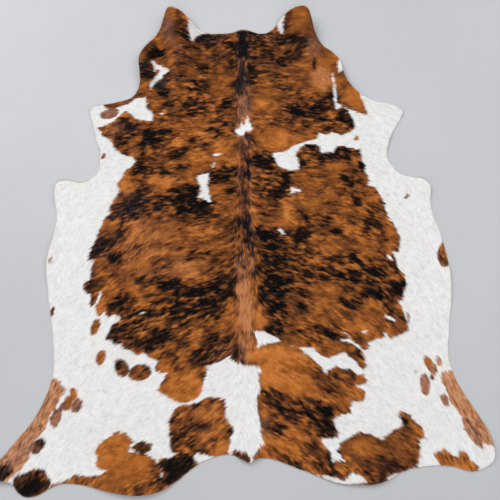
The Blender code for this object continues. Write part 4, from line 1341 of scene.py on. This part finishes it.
def hair_locks(edge_gap, height, patches, middle, area):
    """The coat: one mesh for each shade, of flat three-cornered locks."""
    rng = np.random.default_rng(HAIR_SEED)
    x, y, go_x, go_y, length = lock_plan(rng, edge_gap, area)
    count = len(x)
    tip_x, tip_y = x + length * go_x, y + length * go_y
    stray = rng.normal(0.0, COLOUR_STRAY, (2, count))
    along = rng.uniform(*COLOUR_FROM, count) * length
    pick = rng.uniform(0.0, 1.0, count)
    second = rng.uniform(0.0, 1.0, count)
    colour_x = x + along * go_x + stray[0]
    colour_y = y + along * go_y + stray[1]
    shade = coat(colour_x, colour_y, patches, pick, second)

    past = np.clip(edge_gap(tip_x, tip_y) / TIP_OUT, 0.0, 1.0)
    lift = rng.uniform(*TIP_LIFT, count) * (1.0 - TIP_FLAT * past)
    root = np.column_stack([x, y, height(x, y) + LEATHER - ROOT_DEPTH])
    tip = np.column_stack([tip_x, tip_y, height(tip_x, tip_y) + LEATHER + lift])
    tip[:, 2] -= TIP_DROOP * past
    half = 0.5 * LOCK_WIDTH * rng.uniform(*LOCK_WIDTHS, count)
    roll = rng.normal(0.0, LOCK_ROLL, count)
    side = np.column_stack([-go_y * np.cos(roll), go_x * np.cos(roll), np.sin(roll)])
    side = side * half[:, None]
    corners = np.stack([root - side, root + side, tip], axis=1)
    corners[:, :2, 2] += ROOT_LIFT
    corners[:, :, :2] -= middle
    return [
        hair_mesh(look, corners[shade == index], middle)
        for index, look in enumerate(SHADES)
        if np.any(shade == index)
    ]


# ------------------------------------------------------------------------ floor and light
def floor():
    mesh = bpy.data.meshes.new("floor")
    far = FLOOR_REACH
    rim = [(-far, -far, 0), (far, -far, 0), (far, far, 0), (-far, far, 0)]
    mesh.from_pydata(rim, [], [(0, 1, 2, 3)])
    mesh.materials.append(floor_material())
    thing = placed("floor", mesh)
    thing.location.z = -FLOOR_DROP


def softbox(name, place, aim, size, power):
    light = bpy.data.lights.new(name, "AREA")
    light.shape = "RECTANGLE"
    light.size, light.size_y = size
    light.energy = power
    lamp = placed(name, light)
    lamp.location = place
    toward = Vector(aim) - Vector(place)
    lamp.rotation_euler = toward.to_track_quat("-Z", "Y").to_euler()


def daylight():
    """Even light from all around."""
    world = bpy.data.worlds.new("studio")
    bpy.context.scene.world = world
    world.use_nodes = True
    background = world.node_tree.nodes["Background"]
    background.inputs["Color"].default_value = (1, 1, 1, 1)
    background.inputs["Strength"].default_value = DAYLIGHT


def camera(middle):
    """The picture's camera, over a point near the tail edge and looking down at the rug."""
    data = bpy.data.cameras.new("camera")
    data.sensor_width = SENSOR
    data.lens = LENS
    thing = placed("camera", data)
    thing.location = (-middle[0], CAMERA_Y - middle[1], CAMERA_UP)
    thing.rotation_euler = (math.radians(90 - CAMERA_DOWN), 0, 0)
    bpy.context.scene.camera = thing
    bpy.context.scene.view_settings.view_transform = "Standard"


# ------------------------------------------------------------------------------ the whole
def cut_edge(outline):
    """Points along the outline, with the small unevenness of a hand-cut edge."""
    rim = evenly_spaced(outline, RIM_STEP, closed=True)
    wave = sum(EDGE_WAVE * (noise(*rim.T, size, seed) - 0.5) for size, seed in EDGE_WAVES)
    ahead = np.roll(rim, -1, axis=0) - np.roll(rim, 1, axis=0)
    ahead /= np.hypot(*ahead.T)[:, None]
    return rim + wave[:, None] * np.column_stack([ahead[:, 1], -ahead[:, 0]])


def main():
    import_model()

    outline = smooth_line(OUTLINE, closed=True)
    cad_rim = evenly_spaced(outline, CAD_RIM_STEP, closed=True)
    middle = (cad_rim.min(axis=0) + cad_rim.max(axis=0)) / 2
    rim = cut_edge(outline)
    x, y = rim.T
    area = 0.5 * abs(np.dot(x, np.roll(y, -1)) - np.dot(y, np.roll(x, -1)))

    edge_gap = signed_distance(rim)
    height = Grid(underside_height(*Grid.places()))
    patches = [(patch, signed_distance(np.array(patch.line) / 100)) for patch in PATCHES]
    leather = leather_sheet(rim, edge_gap, height, patches, middle)
    hair = hair_locks(edge_gap, height, patches, middle, area)
    for piece in (leather, *hair):
        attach(piece, "root")
    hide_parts("hide")
    floor()
    for box in SOFTBOXES:
        softbox(*box)
    daylight()
    camera(middle)
    bpy.context.view_layer.update()


main()
